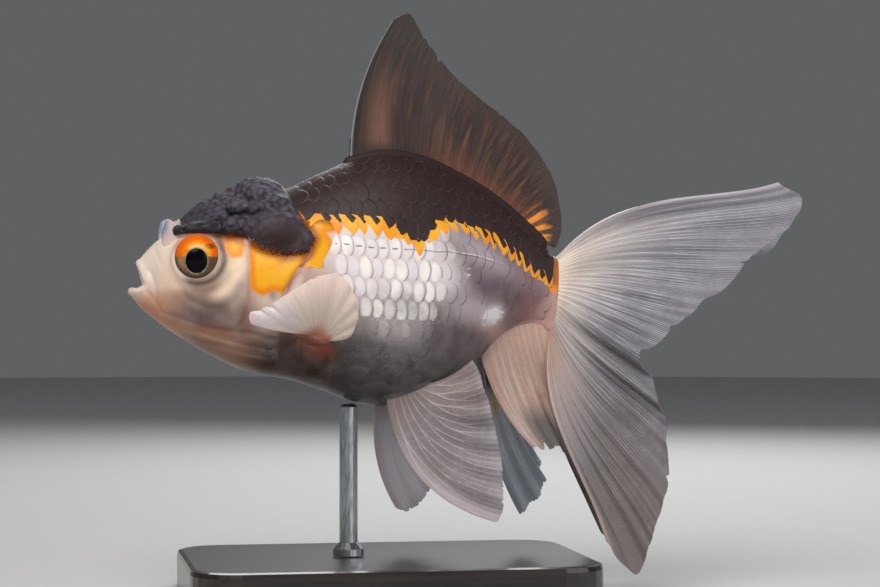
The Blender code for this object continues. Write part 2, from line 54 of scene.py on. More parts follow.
# Body ---------------------------------------------------------------------------------
# The same stations as in the solids: top (x, z), bottom (x, z), half-width, side lag.
STATIONS = {
    "throat": (-49.6, 68.6, -50.2, 66.8, 0.9, 0.4),
    "gullet": (-51.5, 70.4, -52.6, 66.2, 2.2, 1.0),
    "lip_rim": (-53.7, 71.6, -55.1, 66.4, 3.0, 1.9),
    "lip_face": (-53.6, 72.5, -55.3, 65.2, 4.0, 2.0),
    "snout": (-51.3, 75.2, -53.2, 62.4, 5.8, 1.3),
    "nostril": (-49.0, 77.2, -50.5, 60.1, 8.0, 0.6),
    "brow": (-46.0, 78.4, -46.9, 57.4, 9.8, 0.2),
    "eye": (-40.8, 81.4, -40.4, 53.3, 11.5, 0.0),
    "cheek": (-33.5, 84.6, -33.5, 49.7, 13.6, 0.0),
    "crown": (-27.0, 86.9, -27.4, 47.8, 15.1, 0.0),
    "nape": (-20.9, 88.6, -21.3, 46.7, 16.3, 0.0),
    "shoulder": (-14.3, 91.7, -14.7, 44.6, 17.2, 0.0),
    "dorsal_front": (-7.7, 94.4, -7.7, 42.0, 17.6, 0.0),
    "breast": (0.1, 96.0, -0.4, 40.8, 17.4, 0.0),
    "flank": (7.8, 94.9, 6.7, 42.9, 16.1, 0.0),
    "loin": (14.5, 92.1, 13.4, 45.3, 14.1, 0.0),
    "vent": (20.8, 88.7, 19.0, 49.0, 11.7, 0.0),
    "anal": (26.2, 85.0, 23.1, 54.0, 9.2, 0.0),
    "stalk_front": (30.7, 81.2, 27.6, 57.3, 7.0, 0.0),
    "stalk_mid": (34.8, 77.3, 32.5, 58.4, 5.3, 0.0),
    "stalk_end": (38.4, 72.6, 37.3, 57.3, 3.4, 0.0),
}
STATION_ROWS = np.array(list(STATIONS.values()))
LAST_STATION = len(STATIONS) - 1
BELLY_FULLNESS = 0.10
COAT = 0.3  # depth of the scales over the skin
BODY_GRID = (260, 200)  # rings and sectors of the plain body

GILL_EDGE_X = -24.3
GILL_SWELL = 6.8
GILL_SWELL_Z = 76.5
GILL_SWELL_ABOVE = 9.0
GILL_SWELL_BELOW = 7.0

# Skin field ---------------------------------------------------------------------------
STEP = 0.4  # spacing of the field from which the skin is drawn
FIELD_LOW = np.array((-148, -56, 90))  # first cell of the field, in steps
FIELD_SHAPE = (260, 113, 166)
FIELD_BAND = 13  # cells each way in which the field holds true distances
EVENING = (3, 0.6)  # passes that even out the surface, and the share of the way moved in each

# Camera -------------------------------------------------------------------------------
CAMERA_TARGET = (12.3, 0.0, 65.4)
CAMERA_DISTANCE = 538.0
CAMERA_YAW = 10.0
CAMERA_LENS = 100.04
SENSOR = 36.0


def linear(colour):
    """Linear colour from 8-bit display values."""
    v = np.array(colour) / 255
    return np.where(v <= 0.04045, v / 12.92, ((v + 0.055) / 1.055) ** 2.4)


def tint(base, weight, colour):
    """Linear colours, with a display colour laid over them by a weight of 0 to 1."""
    return base + np.clip(weight, 0, 1)[..., None] * (linear(colour) - base)


def curve(values, t):
    """Catmull-Rom row at each t along evenly numbered rows of values."""
    values = np.asarray(values, float)
    last = len(values) - 1
    t = np.clip(np.asarray(t, float), 0, last)
    i = np.minimum(t.astype(int), last - 1)
    f = (t - i)[..., None]
    p1 = values[i]
    p2 = values[i + 1]
    p0 = np.where((i > 0)[..., None], values[i - 1], 2 * p1 - p2)
    p3 = np.where((i + 2 <= last)[..., None], values[np.minimum(i + 2, last)], 2 * p2 - p1)
    rise = f * f * (3 - 2 * f)
    bow = (f**3 - 2 * f**2 + f) * (p2 - p0) / 2 + (f**3 - f**2) * (p3 - p1) / 2
    return p1 * (1 - rise) + p2 * rise + bow


def smooth(a, b, x):
    f = np.clip((x - a) / (b - a), 0.0, 1.0)
    return f * f * (3 - 2 * f)


def bump(value, centre, width):
    return np.exp(-(((value - centre) / width) ** 2))


def turned(x, z, degrees):
    """(x, z) along axes that lean by some degrees."""
    c = math.cos(math.radians(degrees))
    s = math.sin(math.radians(degrees))
    return x * c + z * s, z * c - x * s


def distances(points, axis):
    """Distances between neighbouring points along an axis of an array of points."""
    return np.linalg.norm(np.diff(points, axis=axis), axis=-1)


def table_value(table, a, b, eased=False):
    """Value of a table at fractional rows a and columns b."""
    i = a.astype(int)
    j = b.astype(int)
    f = smooth(0, 1, a - i) if eased else a - i
    g = smooth(0, 1, b - j) if eased else b - j
    low = table[i, j] * (1 - f) + table[i + 1, j] * f
    high = table[i, j + 1] * (1 - f) + table[i + 1, j + 1] * f
    return low * (1 - g) + high * g


def body(s, angle):
    """Point of the body at station s; angle 0 is the back, pi the belly, + the right."""
    s = np.asarray(s, float)
    angle = np.asarray(angle, float)
    row = curve(STATION_ROWS, s)
    top_x, top_z, low_x, low_z, wide, lag = np.moveaxis(row, -1, 0)
    full = BELLY_FULLNESS * smooth(7.0, 11.0, s)
    side = np.sin(angle)
    swing = np.cos(angle)
    x = (top_x + low_x) / 2 + (top_x - low_x) / 2 * swing + lag * side**2
    y = wide * side * (1 - full * swing)
    z = (top_z + low_z) / 2 + (top_z - low_z) / 2 * swing - lag * side**2
    return np.stack([x, y, z], axis=-1)


def body_normal(s, angle):
    """Unit vector out of the body's surface."""
    step = 0.01
    along = body(s + step, angle) - body(s - step, angle)
    across = body(s, angle + step) - body(s, angle - step)
    normal = np.cross(across, along)
    normal /= np.linalg.norm(normal, axis=-1, keepdims=True)
    away = body(s, angle) - (body(s, 0.0) + body(s, math.pi)) / 2
    return normal * np.sign(np.sum(normal * away, axis=-1, keepdims=True))


def body_out(s, degrees, distance):
    """Point at a distance outside the body, from a station and degrees from the back."""
    s = np.asarray(s, float)
    angle = np.radians(np.asarray(degrees, float))
    return body(s, angle) + body_normal(s, angle) * distance


def gill_edge(z):
    """x of the gill cover's rear edge at height z."""
    spread = np.where(z > GILL_SWELL_Z, GILL_SWELL_ABOVE, GILL_SWELL_BELOW)
    return GILL_EDGE_X + GILL_SWELL * np.exp(-(((z - GILL_SWELL_Z) / spread) ** 2))


# Eyes and mouth
EYE_CENTRE = (-41.6, 9.3, 73.0)
EYE_RADIUS = 5.1
EYE_DEPTH = 4.5
RIM_PLANE = 11.0  # how far out the skin ring round the eye reaches
EYE_GRID = (63, 96)  # rings and sectors of an eyeball
MOUTH = (-51.2, 0.0, 68.4)  # middle of the open mouth

# Markings -----------------------------------------------------------------------------
# Borders and outlines are (x, z) points on the flank.
BACK_EDGE = (
    (-24.0, 83.4), (-20.1, 82.0), (-16.0, 81.6), (-10.8, 81.3), (-5.6, 81.3), (-2.4, 80.9),
    (0.8, 79.2), (3.2, 77.6), (4.8, 76.8), (6.6, 77.2), (8.4, 79.4), (9.8, 81.0), (12.0, 81.8),
    (14.5, 80.9), (19.1, 79.3), (23.8, 76.8), (28.6, 73.7), (32.2, 70.9), (35.9, 68.6),
)
AMBER_EDGE = (
    (-24.0, 80.4), (-20.3, 78.6), (-16.2, 78.0), (-10.0, 78.9), (-4.6, 78.8), (-1.5, 77.9),
    (2.6, 76.2), (4.4, 74.6), (5.4, 73.9), (6.8, 76.0), (10.8, 78.8), (14.4, 79.2), (19.0, 77.6),
    (23.7, 75.2), (28.5, 72.2), (32.2, 69.3), (35.8, 67.0),
)
HOOD = (
    (-46.3, 77.7), (-42.9, 78.1), (-35.7, 78.0), (-33.7, 77.7), (-31.1, 77.2), (-28.3, 75.2),
    (-23.7, 73.6), (-18.9, 74.1), (-17.5, 76.9), (-19.4, 80.4), (-21.4, 84.0), (-22.2, 88.0),
    (-22.8, 97.0), (-52.0, 97.0), (-47.4, 79.6),
)
GILL_PATCH = (
    (-30.7, 76.5), (-30.5, 66.4), (-28.3, 65.2), (-26.5, 66.3), (-23.9, 65.8), (-22.0, 67.2),
    (-19.5, 71.8), (-18.2, 76.5), (-24.0, 79.0),
)
SHOULDER_PATCH = (
    (-19.0, 81.5), (-15.7, 79.4), (-14.0, 76.5), (-13.6, 73.3), (-14.9, 70.4), (-17.2, 68.3),
    (-20.0, 70.5), (-20.5, 77.0),
)
EYE_SPOT = ((-36.2, 78.4), (-35.4, 74.2), (-34.2, 73.0), (-32.6, 73.4), (-31.6, 78.4))
TAIL_PATCH = ((34.0, 69.4), (36.0, 66.0), (37.6, 65.6), (38.4, 68.0), (38.4, 72.6), (36.3, 72.0))
PEARL = (
    (-13.0, 79.0), (-14.5, 70.0), (-12.0, 62.5), (-5.0, 61.0), (3.0, 60.0), (9.5, 63.0),
    (10.0, 72.0), (12.0, 78.0), (1.0, 77.0),
)
AMBER_PATCHES = (GILL_PATCH, SHOULDER_PATCH, EYE_SPOT, TAIL_PATCH)

# Soft ground colours of the skin: (x, z, reach in mm, colour).
GROUND = {
    "snout": (-50.5, 72.0, 6.0, (236, 216, 200)),
    "chin": (-50.0, 61.0, 5.0, (206, 152, 120)),
    "cheek": (-38.0, 66.0, 6.0, (200, 176, 160)),
    # Painted shade: the throat, breast and belly below are darker than the skin's own tone, as beneath the
    # head and body.
    "throat": (-38.0, 54.0, 6.0, (144, 102, 82)),
    "gill": (-26.0, 64.0, 5.0, (206, 178, 160)),
    "breast": (-21.0, 51.0, 7.0, (72, 52, 42)),
    "flank_high": (-2.0, 74.0, 7.0, (224, 212, 210)),
    "flank_low": (0.0, 60.0, 5.0, (158, 148, 148)),
    # The belly colour is mostly painted shade beneath the body, darker than the belly's own grey.
    "belly": (-2.0, 47.0, 8.0, (84, 80, 80)),
    "rump": (20.0, 70.0, 6.0, (110, 92, 100)),
    "rump_low": (16.0, 56.0, 6.0, (96, 84, 86)),
    "stalk": (31.0, 65.0, 4.0, (128, 96, 100)),
    "stalk_end": (37.0, 61.0, 4.0, (196, 156, 146)),
}
# Soft patches laid over the ground in turn: (x, z), radii, lean, strength, colour.
PATCHES = {
    "lip": ((-54.4, 68.6), (2.2, 4.4), 0, 0.6, (236, 216, 208)),
    "jowl": ((-47.4, 67.6), (2.0, 4.0), 28, 0.75, (226, 192, 162)),
    "under_jowl": ((-44.4, 64.4), (3.6, 1.7), -14, 0.85, (158, 120, 100)),
    "jaw_blush": ((-51.6, 61.6), (3.6, 1.2), -30, 0.6, (214, 118, 84)),
    "jaw_line": ((-43.0, 57.9), (7.0, 1.1), -12, 0.5, (196, 118, 84)),
    "throat_line": ((-38.0, 56.0), (6.0, 0.7), -14, 0.6, (206, 166, 132)),
    "throat_edge": ((-33.0, 53.0), (6.0, 0.8), -14, 0.45, (190, 142, 114)),
    # Painted shade on the breast, beneath the head.
    "breast_painted_shade": ((-26.0, 52.2), (4.2, 2.4), -20, 0.7, (58, 40, 30)),
    "smoke": ((-39.8, 61.4), (7.2, 3.1), 4, 1.0, (98, 72, 66)),
    "smoke_rear": ((-31.8, 60.4), (2.4, 3.6), 0, 0.75, (112, 88, 80)),
    "smoke_light": ((-36.2, 60.2), (2.2, 1.3), 20, 0.5, (142, 124, 128)),
    "cheek_rear": ((-33.8, 66.4), (1.5, 5.4), 0, 0.75, (176, 152, 144)),
    "gill_line": ((-31.2, 67.0), (0.6, 9.0), 0, 0.65, (176, 118, 104)),
    "spot_foot": ((-33.9, 71.2), (2.2, 1.8), 0, 0.7, (255, 226, 176)),
    "under_eye": ((-41.4, 64.6), (3.0, 1.6), 4, 0.8, (150, 122, 108)),
    "gill_foot": ((-26.8, 63.8), (2.6, 1.7), -20, 0.75, (232, 214, 200)),
    "gill_streak": ((-26.4, 65.2), (0.8, 1.3), 10, 0.6, (128, 106, 98)),
    "gill_hem": ((-20.8, 67.4), (0.8, 4.2), -38, 0.8, (240, 222, 212)),
    "gill_shade": ((-18.4, 71.0), (0.8, 4.2), -24, 0.6, (150, 100, 86)),
    "shoulder_foot": ((-16.6, 67.4), (2.4, 2.4), 0, 0.7, (222, 160, 132)),
    "fin_seat": ((-17.2, 55.6), (3.8, 2.8), -30, 0.8, (168, 94, 76)),
    "fin_seat_red": ((-15.4, 53.4), (2.4, 1.4), -30, 0.7, (140, 40, 28)),
    "fin_knob": ((-17.4, 56.9), (1.9, 0.8), -20, 0.8, (212, 148, 126)),
    # Painted shade along the bottom of the belly.
    "belly_painted_shade": ((-2.0, 45.0), (15.0, 4.5), 4, 0.5, (66, 60, 60)),
    "flank_veil": ((10.5, 69.6), (5.0, 4.8), -24, 0.9, (232, 220, 220)),
    "rear_veil": ((20.0, 73.6), (8.5, 3.0), -34, 0.8, (184, 168, 172)),
    "rump_dusk": ((24.0, 67.0), (10.0, 2.9), -22, 0.5, (90, 70, 78)),
    "rump_veil": ((17.6, 61.8), (6.6, 3.4), -16, 0.8, (190, 176, 180)),
    "vent": ((23.6, 57.0), (5.0, 2.6), -22, 0.8, (186, 150, 142)),
    # Painted highlight: a bright white spot above the anal fin's root.
    "rump_painted_highlight": ((22.5, 60.6), (2.7, 2.0), 30, 0.85, (255, 246, 248)),
    "stalk_blush": ((32.5, 61.0), (3.4, 3.2), 0, 0.4, (176, 128, 126)),
}
EYE_RINGS = (
    # Distance from the eye's centre, width, strength, colour, and the degrees round the
    # eye, from straight back, between which it lies.
    (8.7, 1.3, 0.95, (246, 218, 190), (-70, 20)),
    (7.0, 0.9, 0.85, (146, 116, 100), (-108, -48)),
    (5.4, 0.75, 0.95, (100, 74, 60), (-122, 44)),
    (6.6, 1.7, 0.85, (152, 84, 42), (26, 66)),
    (5.7, 0.8, 0.90, (148, 90, 58), (50, 90)),
    (5.2, 0.4, 0.80, (176, 108, 66), (90, 168)),
)
SLIT_TINT = (168, 104, 84)


def line_gap(place, line):
    """Distance from places, given by their coordinates, to an open line."""
    line = np.asarray(line, float)
    nearest = 1e9
    for a, b in zip(line, line[1:]):
        d = b - a
        t = np.clip(sum((p - q) * e for p, q, e in zip(place, a, d)) / (d @ d), 0, 1)
        nearest = np.minimum(nearest, sum((p - q - t * e) ** 2 for p, q, e in zip(place, a, d)))
    return np.sqrt(nearest)


def outline_distance(x, z, outline):
    """Signed distance in the (x, z) plane to a closed outline, positive inside."""
    ring = (*outline, outline[0])
    inside = False
    for (ax, az), (bx, bz) in zip(ring, ring[1:]):
        crosses = (az > z) != (bz > z)
        inside = inside ^ (crosses & (x < (z - az) / (bz - az or 1e-9) * (bx - ax) + ax))
    gap = line_gap((x, z), ring)
    return np.where(inside, gap, -gap)


def line_at(x, line):
    """Height at x of a line of (x, height) pairs."""
    return np.interp(x, *np.array(line).T)


def ground_colour(x, z):
    """Colour of the bare skin."""
    total = 0.0
    ground = 0.0
    for px, pz, reach, colour in GROUND.values():
        weight = 1 / (0.15 + ((x - px) ** 2 + (z - pz) ** 2) / reach**2) ** 2.5
        total = total + weight
        ground = ground + weight[:, None] * linear(colour)
    ground = ground / total[:, None]
    for (px, pz), (rx, rz), lean, strength, colour in PATCHES.values():
        u, w = turned(x - px, z - pz, lean)
        ground = tint(ground, strength * np.exp(-(((u / rx) ** 2 + (w / rz) ** 2) ** 1.3)), colour)
    away = np.hypot(x - EYE_CENTRE[0], z - EYE_CENTRE[2])
    turn = np.degrees(np.arctan2(z - EYE_CENTRE[2], x - EYE_CENTRE[0]))
    for reach, width, strength, colour, (first, last) in EYE_RINGS:
        arc = smooth(first - 12, first + 18, turn) * smooth(last + 12, last - 18, turn)
        ground = tint(ground, strength * bump(away, reach, width) * arc, colour)
    return ground


def markings(points):
    """Ground colour and signed distances, in mm, into each kind of marking."""
    x, y, z = points.T
    # The right side carries the same kind of markings, with its borders elsewhere.
    right = smooth(1.0, 5.0, y)
    x_seen = x + right * 1.6 * np.sin(z * 0.21 + 1.0)
    wander = right * (1.1 * np.sin(x * 0.30 + 0.6) + 0.7 * np.sin(x * 0.71 + 2.0) - 0.4)
    z_seen = z + wander * smooth(-26, -14, x)
    back = (z_seen - line_at(x_seen, BACK_EDGE)) * 0.93
    back = np.minimum.reduce([back, 37.1 - x_seen + 0.1 * (z - 70), x_seen + 24.5])
    band = (z_seen - line_at(x_seen, AMBER_EDGE)) * 0.93 - 0.2
    band = np.minimum.reduce([band, 37.0 - x_seen, x_seen + 22.5])
    patches = [outline_distance(x_seen, z, one) for one in AMBER_PATCHES]
    # The slit behind the gill cover is bare.
    slit = bump(x, gill_edge(z) + 0.3, 0.45) * smooth(64.0, 67.0, z) * smooth(80.0, 77.0, z)
    return {
        "ground": tint(ground_colour(x, z), slit, SLIT_TINT),
        "black": np.maximum(back, outline_distance(x_seen, z, HOOD)),
        "orange": np.maximum.reduce([band, *patches]) - 3.0 * slit,
        "pearl": outline_distance(x_seen, z, PEARL),
        "band": band,
    }


# Meshes -------------------------------------------------------------------------------


def mesh_piece(name, points, faces, attributes=(), colours=()):
    """A piece from points in mm and equal-sided faces, with its point attributes."""
    mesh = bpy.data.meshes.new(name)
    sides = faces.shape[1]
    mesh.vertices.add(len(points))
    mesh.vertices.foreach_set("co", (points * MM).astype(np.float32).ravel())
    mesh.loops.add(faces.size)
    mesh.loops.foreach_set("vertex_index", faces.astype(np.int32).ravel())
    mesh.polygons.add(len(faces))
    mesh.polygons.foreach_set("loop_start", np.arange(0, faces.size, sides, dtype=np.int32))
    mesh.update(calc_edges=True)
    mesh.shade_smooth()
    for key, values in dict(attributes).items():
        layer = mesh.attributes.new(key, "FLOAT", "POINT")
        layer.data.foreach_set("value", np.asarray(values, np.float32).ravel())
    for key, values in dict(colours).items():
        layer = mesh.attributes.new(key, "FLOAT_COLOR", "POINT")
        solid = np.concatenate([values, np.ones((len(values), 1))], axis=1)
        layer.data.foreach_set("color", solid.astype(np.float32).ravel())
    obj = bpy.data.objects.new(name, mesh)
    bpy.context.scene.collection.objects.link(obj)
    return obj


def bake_map(obj, corner_uv):
    """Adds the UV map OFBake, from one (u, v) for each vertex."""
    layer = obj.data.uv_layers.new(name="OFBake")
    index = np.empty(len(obj.data.loops), np.int32)
    obj.data.loops.foreach_get("vertex_index", index)
    layer.data.foreach_set("uv", corner_uv[index].astype(np.float32).ravel())


def grid_quads(rows, columns, closed=False):
    """Quads of a grid of points; closed joins each row's end to its start."""
    i, j = np.meshgrid(np.arange(rows - 1), np.arange(columns if closed else columns - 1), indexing="ij")
    a = (i * columns + j).ravel()
    b = (i * columns + (j + 1) % columns).ravel()
    return np.stack([a, b, b + columns, a + columns], axis=1)


def ring_faces(rings, sectors):
    """Quads between rings of points, and triangles to the two points that close them."""
    end = rings * sectors
    j = np.arange(sectors)
    after = (j + 1) % sectors
    top = end - sectors
    low_end = np.stack([after, j, np.full(sectors, end)], axis=1)
    top_end = np.stack([top + j, top + after, np.full(sectors, end + 1)], axis=1)
    return grid_quads(rings, sectors, closed=True), np.concatenate([low_end, top_end])


def ring_triangles(rings, sectors, flipped):
    quads, ends = ring_faces(rings, sectors)
    triangles = np.concatenate([quads[:, :3], quads[:, [0, 2, 3]], ends])
    return triangles[:, ::-1] if flipped else triangles


def dress(piece, shade, slot, *nodes):
    """Gives a piece its material, and puts it in the place of the solids of some nodes."""
    piece.data.materials.append(shade)
    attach(piece, "root")
    if nodes:
        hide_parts(*nodes)


# Skin ---------------------------------------------------------------------------------


def soft_least(a, b, blend):
    """The lesser of two distances, with a rounded join."""
    h = np.clip(0.5 + 0.5 * (b - a) / blend, 0, 1)
    return b * (1 - h) + a * h - blend * h * (1 - h)


class Field:
    """Distances to the skin on a regular grid; shapes are blended into it one by one."""

    def __init__(self, points, quads, triangles):
        self.transform = vdb.createLinearTransform(voxelSize=STEP)
        grid = vdb.FloatGrid.createLevelSetFromPolygons(
            points.astype(np.float32),
            triangles=triangles.astype(np.uint32),
            quads=quads.astype(np.uint32),
            transform=self.transform,
            halfWidth=FIELD_BAND,
        )
        self.low = tuple(int(i) for i in FIELD_LOW)
        self.values = np.zeros(FIELD_SHAPE, np.float32)
        grid.copyToArray(self.values, ijk=self.low)

    def window(self, low, high):
        """Slices of the cells between two corners, and those cells' coordinates."""
        slices = []
        axes = []
        for axis in range(3):
            first = max(0, int(low[axis] / STEP - FIELD_LOW[axis]) - 1)
            last = min(FIELD_SHAPE[axis], int(high[axis] / STEP - FIELD_LOW[axis]) + 2)
            slices.append(slice(first, last))
            axes.append((np.arange(first, last) + FIELD_LOW[axis]) * STEP)
        return tuple(slices), *np.meshgrid(*axes, indexing="ij", sparse=True)

    def join(self, cells, distance, blend):
        self.values[cells] = soft_least(self.values[cells], distance, blend)

    def carve(self, cells, distance, blend):
        self.values[cells] = -soft_least(-self.values[cells], distance, blend)

    def blob(self, centre, radii, blend, carved=False, lean=0.0):
        """Blends in an ellipsoid; lean turns it in the (x, z) plane, in degrees."""
        reach = max(radii) + 3 * blend + 1.0
        cells, x, y, z = self.window(np.array(centre) - reach, np.array(centre) + reach)
        u, w = turned(x - centre[0], z - centre[2], lean)
        axes = tuple(zip((u, y - centre[1], w), radii))
        one = np.sqrt(sum((a / r) ** 2 for a, r in axes))
        two = np.sqrt(sum((a / r**2) ** 2 for a, r in axes))
        change = self.carve if carved else self.join
        change(cells, one * (one - 1) / np.maximum(two, 1e-6), blend)

    def near_line(self, points, margin):
        """Cells near a polyline, and each cell's distance to it."""
        points = np.asarray(points, float)
        cells, *place = self.window(points.min(0) - margin, points.max(0) + margin)
        return cells, line_gap(place, points)

    def crease(self, points, width, depth):
        """A soft groove along a polyline, or a ridge where depth is negative."""
        cells, distance = self.near_line(points, 3 * width)
        self.values[cells] += depth * bump(distance, 0, width)

    def tube(self, points, radius, blend):
        cells, distance = self.near_line(points, radius + 3 * blend + 0.5)
        self.join(cells, distance - radius, blend)

    def sample(self, points):
        """Field value at each point."""
        place = points / STEP - FIELD_LOW
        base = np.clip(np.floor(place).astype(int), 0, np.array(FIELD_SHAPE) - 2)
        f = place - base
        total = np.zeros(len(points))
        for corner in range(8):
            bits = np.array((corner >> 2 & 1, corner >> 1 & 1, corner & 1))
            weight = np.prod(np.where(bits, f, 1 - f), axis=1)
            total += weight * self.values[tuple((base + bits).T)]
        return total

    def settle(self, points):
        """Moves points on to the field's zero surface."""
        offsets = np.eye(3) * STEP / 2
        gradient = [self.sample(points + one) - self.sample(points - one) for one in offsets]
        gradient = np.stack(gradient, axis=1) / STEP
        slope = np.maximum((gradient**2).sum(1), 0.25)
        move = gradient * (self.sample(points) / slope)[:, None]
        return points - np.clip(move, -0.5 * STEP, 0.5 * STEP)

    def surface(self):
        """Points and quads of the zero surface, evened out and settled."""
        grid = vdb.FloatGrid(background=FIELD_BAND * STEP)
        grid.copyFromArray(self.values, ijk=self.low)
        grid.transform = self.transform
        points, quads = grid.convertToQuads()
        points = points.astype(float)
        ends = np.concatenate([quads[:, [k, (k + 1) % 4]] for k in range(4)]).astype(np.int64).T
        count = np.bincount(ends.ravel(), minlength=len(points))[:, None]
        passes, share = EVENING
        for _ in range(passes):
            mean = np.zeros_like(points)
            for axis in range(3):
                for here, there in (ends, ends[::-1]):
                    mean[:, axis] += np.bincount(here, points[there, axis], len(points))
            points = self.settle(points + share * (mean / count - points))
        return points, quads[:, ::-1].astype(np.int64)


def body_field():
    """The field of the plain body, from the stations."""
    rings, sectors = BODY_GRID
    s = np.linspace(0, LAST_STATION, rings)[:, None]
    points = body(s, np.linspace(0, 2 * math.pi, sectors, endpoint=False))
    ends = points[[0, -1]].mean(axis=1)
    return Field(np.concatenate([points.reshape(-1, 3), ends]), *ring_faces(rings, sectors))


# Lines over each side of the head: (station, degrees from the back) pairs, points, width, depth.
HEAD_LINES = {
    "under_eye": (((6.05, 92), (6.5, 106), (7.2, 111), (7.85, 104), (8.15, 92)), 14, 0.8, 0.28),
    "crescent": (((6.5, 97), (7.1, 102), (7.7, 97), (7.95, 86)), 12, 1.0, -0.22),
    "gill_plate": (((8.33, 64), (8.4, 80), (8.42, 96), (8.3, 110), (8.0, 122)), 16, 0.45, 0.42),
    "throat": (
        ((9.3, 126), (9.0, 126), (8.4, 124), (7.4, 128), (6.4, 132), (5.4, 138)), 18, 0.5, 0.42,
    ),
    "throat_mid": (((9.2, 134), (8.6, 135), (8.0, 135), (7.0, 139)), 14, 0.45, 0.3),
    "throat_low": (((9.2, 142), (8.6, 143), (7.9, 144), (6.8, 150)), 14, 0.4, 0.22),
    "jaw": (((3.55, 60), (3.9, 78), (4.35, 96), (4.6, 112), (4.7, 126)), 14, 0.45, 0.38),
    "jaw_low": (((3.35, 108), (3.9, 112), (4.5, 120), (5.1, 132)), 12, 0.4, 0.28),
    "snout": (((4.3, 20), (4.5, 45), (4.9, 66)), 9, 0.45, 0.2),
}
SHOULDER = -8  # behind this x the whole skin sinks under the scales


def shape_gills(field):
    """Plate, edge and slit of the gill covers; the trunk's skin sinks under its scales."""
    cells, x, _, z = field.window((-60, -22, 40), (SHOULDER, 22, 100))
    behind = x - gill_edge(z)
    plate = 0.25 * bump(behind, -1.2, 2.2) * smooth(50, 56, z) * (1 - smooth(-0.4, 0.1, behind))
    groove = 0.45 * bump(behind, 0.5, 0.55) * (behind > -0.6)
    low_part = smooth(47.5, 52.0, z) * (1 - smooth(83.0, 86.0, z))
    field.values[cells] -= low_part * (plate - groove) - COAT * smooth(0.1, 1.0, behind)
    cells = field.window((SHOULDER + STEP, -22, 30), (60, 22, 110))[0]
    field.values[cells] += COAT


def shape_socket(field, side):
    """Skin that wraps the eyeball as far out as a leaning plane."""
    eye = np.array(EYE_CENTRE) * (1, side, 1)
    cells, x, y, z = field.window(eye - 8.5, eye + 8.5)
    grown = EYE_RADIUS + 0.55
    deep = EYE_DEPTH + 0.4
    x = x - eye[0]
    z = z - eye[2]
    out = np.sqrt((x**2 + z**2) / grown**2 + ((y - eye[1]) / deep) ** 2)
    plane = side * y - RIM_PLANE - 0.13 * x + 0.08 * z
    field.join(cells, np.maximum((out - 1) * deep, plane), 1.5)


def shape_head(field):
    """Folds, plates, sockets and lips of the head."""
    shape_gills(field)
    for side in (LEFT, RIGHT):
        shape_socket(field, side)
        for pairs, points, width, depth in HEAD_LINES.values():
            s, degrees = curve(pairs, np.linspace(0, len(pairs) - 1, points)).T
            field.crease(body_out(s, side * degrees, 0.0), width, depth)
        # Plate behind the gill opening, and the seat of the breast fin.
        field.blob(body_out(10.72, side * 73, -1.8), (3.8, 2.0, 7.0), 0.8, lean=-6)
        field.blob(body_out(10.5, side * 120, -1.1), (3.8, 2.3, 2.4), 1.2, lean=-24)
        # Nostril, in front of its flap.
        field.blob(body_out(5.45, side * 33, 0.3), (0.9, 0.8, 0.7), 0.3, carved=True)
        # Upper lip's rounded corner.
        field.blob(body_out(3.3, side * 74, -0.5), (1.1, 1.0, 1.6), 0.6)
    for first, last, radius, rise in ((-62, 62, 0.75, -0.2), (108, 252, 0.85, 0.2)):
        lip = body(2.75, np.radians(np.linspace(first, last, 21)))
        field.tube(lip + (0.35, 0, rise), radius, 0.5)


HOOD_THICK = 1.35
HOOD_DOME = 1.9  # how much thicker it is along the mid-line
# Lobes of the hood: centre (x, y, z), radii, blend, lean.
HOOD_LOBES = {
    "crown": ((-28.3, 2.8, 87.2), (4.7, 4.6, 3.3), 0.9, 0),
    "crown_side": ((-28.5, 7.5, 86.4), (2.7, 2.3, 2.2), 0.7, 0),
    "temple": ((-29.6, 10.3, 83.6), (2.5, 1.8, 1.7), 0.7, 0),
    "temple_front": ((-33.4, 9.7, 83.8), (2.4, 1.8, 1.7), 0.8, 0),
    "temple_rear": ((-24.6, 9.2, 84.9), (2.4, 2.1, 1.8), 0.8, 0),
    "brow": ((-39.6, 9.7, 79.2), (5.2, 1.7, 1.5), 0.6, 12),
    "brow_rear": ((-34.0, 10.8, 79.9), (2.9, 2.0, 2.2), 0.4, 10),
    "brow_end": ((-30.6, 12.0, 79.4), (2.2, 1.8, 2.0), 0.45, 0),
    "cheek": ((-24.5, 12.4, 78.0), (7.0, 4.1, 5.0), 0.6, -8),
    "front_lip": ((-45.4, 3.2, 78.8), (1.5, 3.2, 1.5), 0.9, 0),
}
HOOD_COBBLES = 34
FURROW = ((-46.0, 78.6), (-44.4, 78.9), (-42.4, 79.5), (-39.8, 80.2), (-38.0, 80.9), (-36.7, 81.9))
CHEEK_CREASE = (
    (-37.4, 79.6), (-36.8, 81.0), (-35.1, 82.0), (-31.2, 82.7), (-27.5, 82.6), (-23.8, 83.1),
    (-21.1, 81.9),
)


def hood_thickness(x, y):
    """Thickness of the hood's cap: most along the mid-line."""
    dome = np.exp(-((y / 7.5) ** 2)) * smooth(-47.5, -39.5, x) * smooth(-22.5, -26.5, x)
    return HOOD_THICK + HOOD_DOME * dome


def from_side(field, line, side):
    """Points of the skin where each (x, z) is seen from one side."""
    across = np.arange(0.0, 18.0, 0.1)
    found = []
    for x, z in line:
        ray = np.stack([np.full_like(across, x), side * across, np.full_like(across, z)], axis=1)
        inside = np.flatnonzero(field.sample(ray) < 0)
        found.append((x, side * across[inside[-1]] if len(inside) else 0.0, z))
    return found


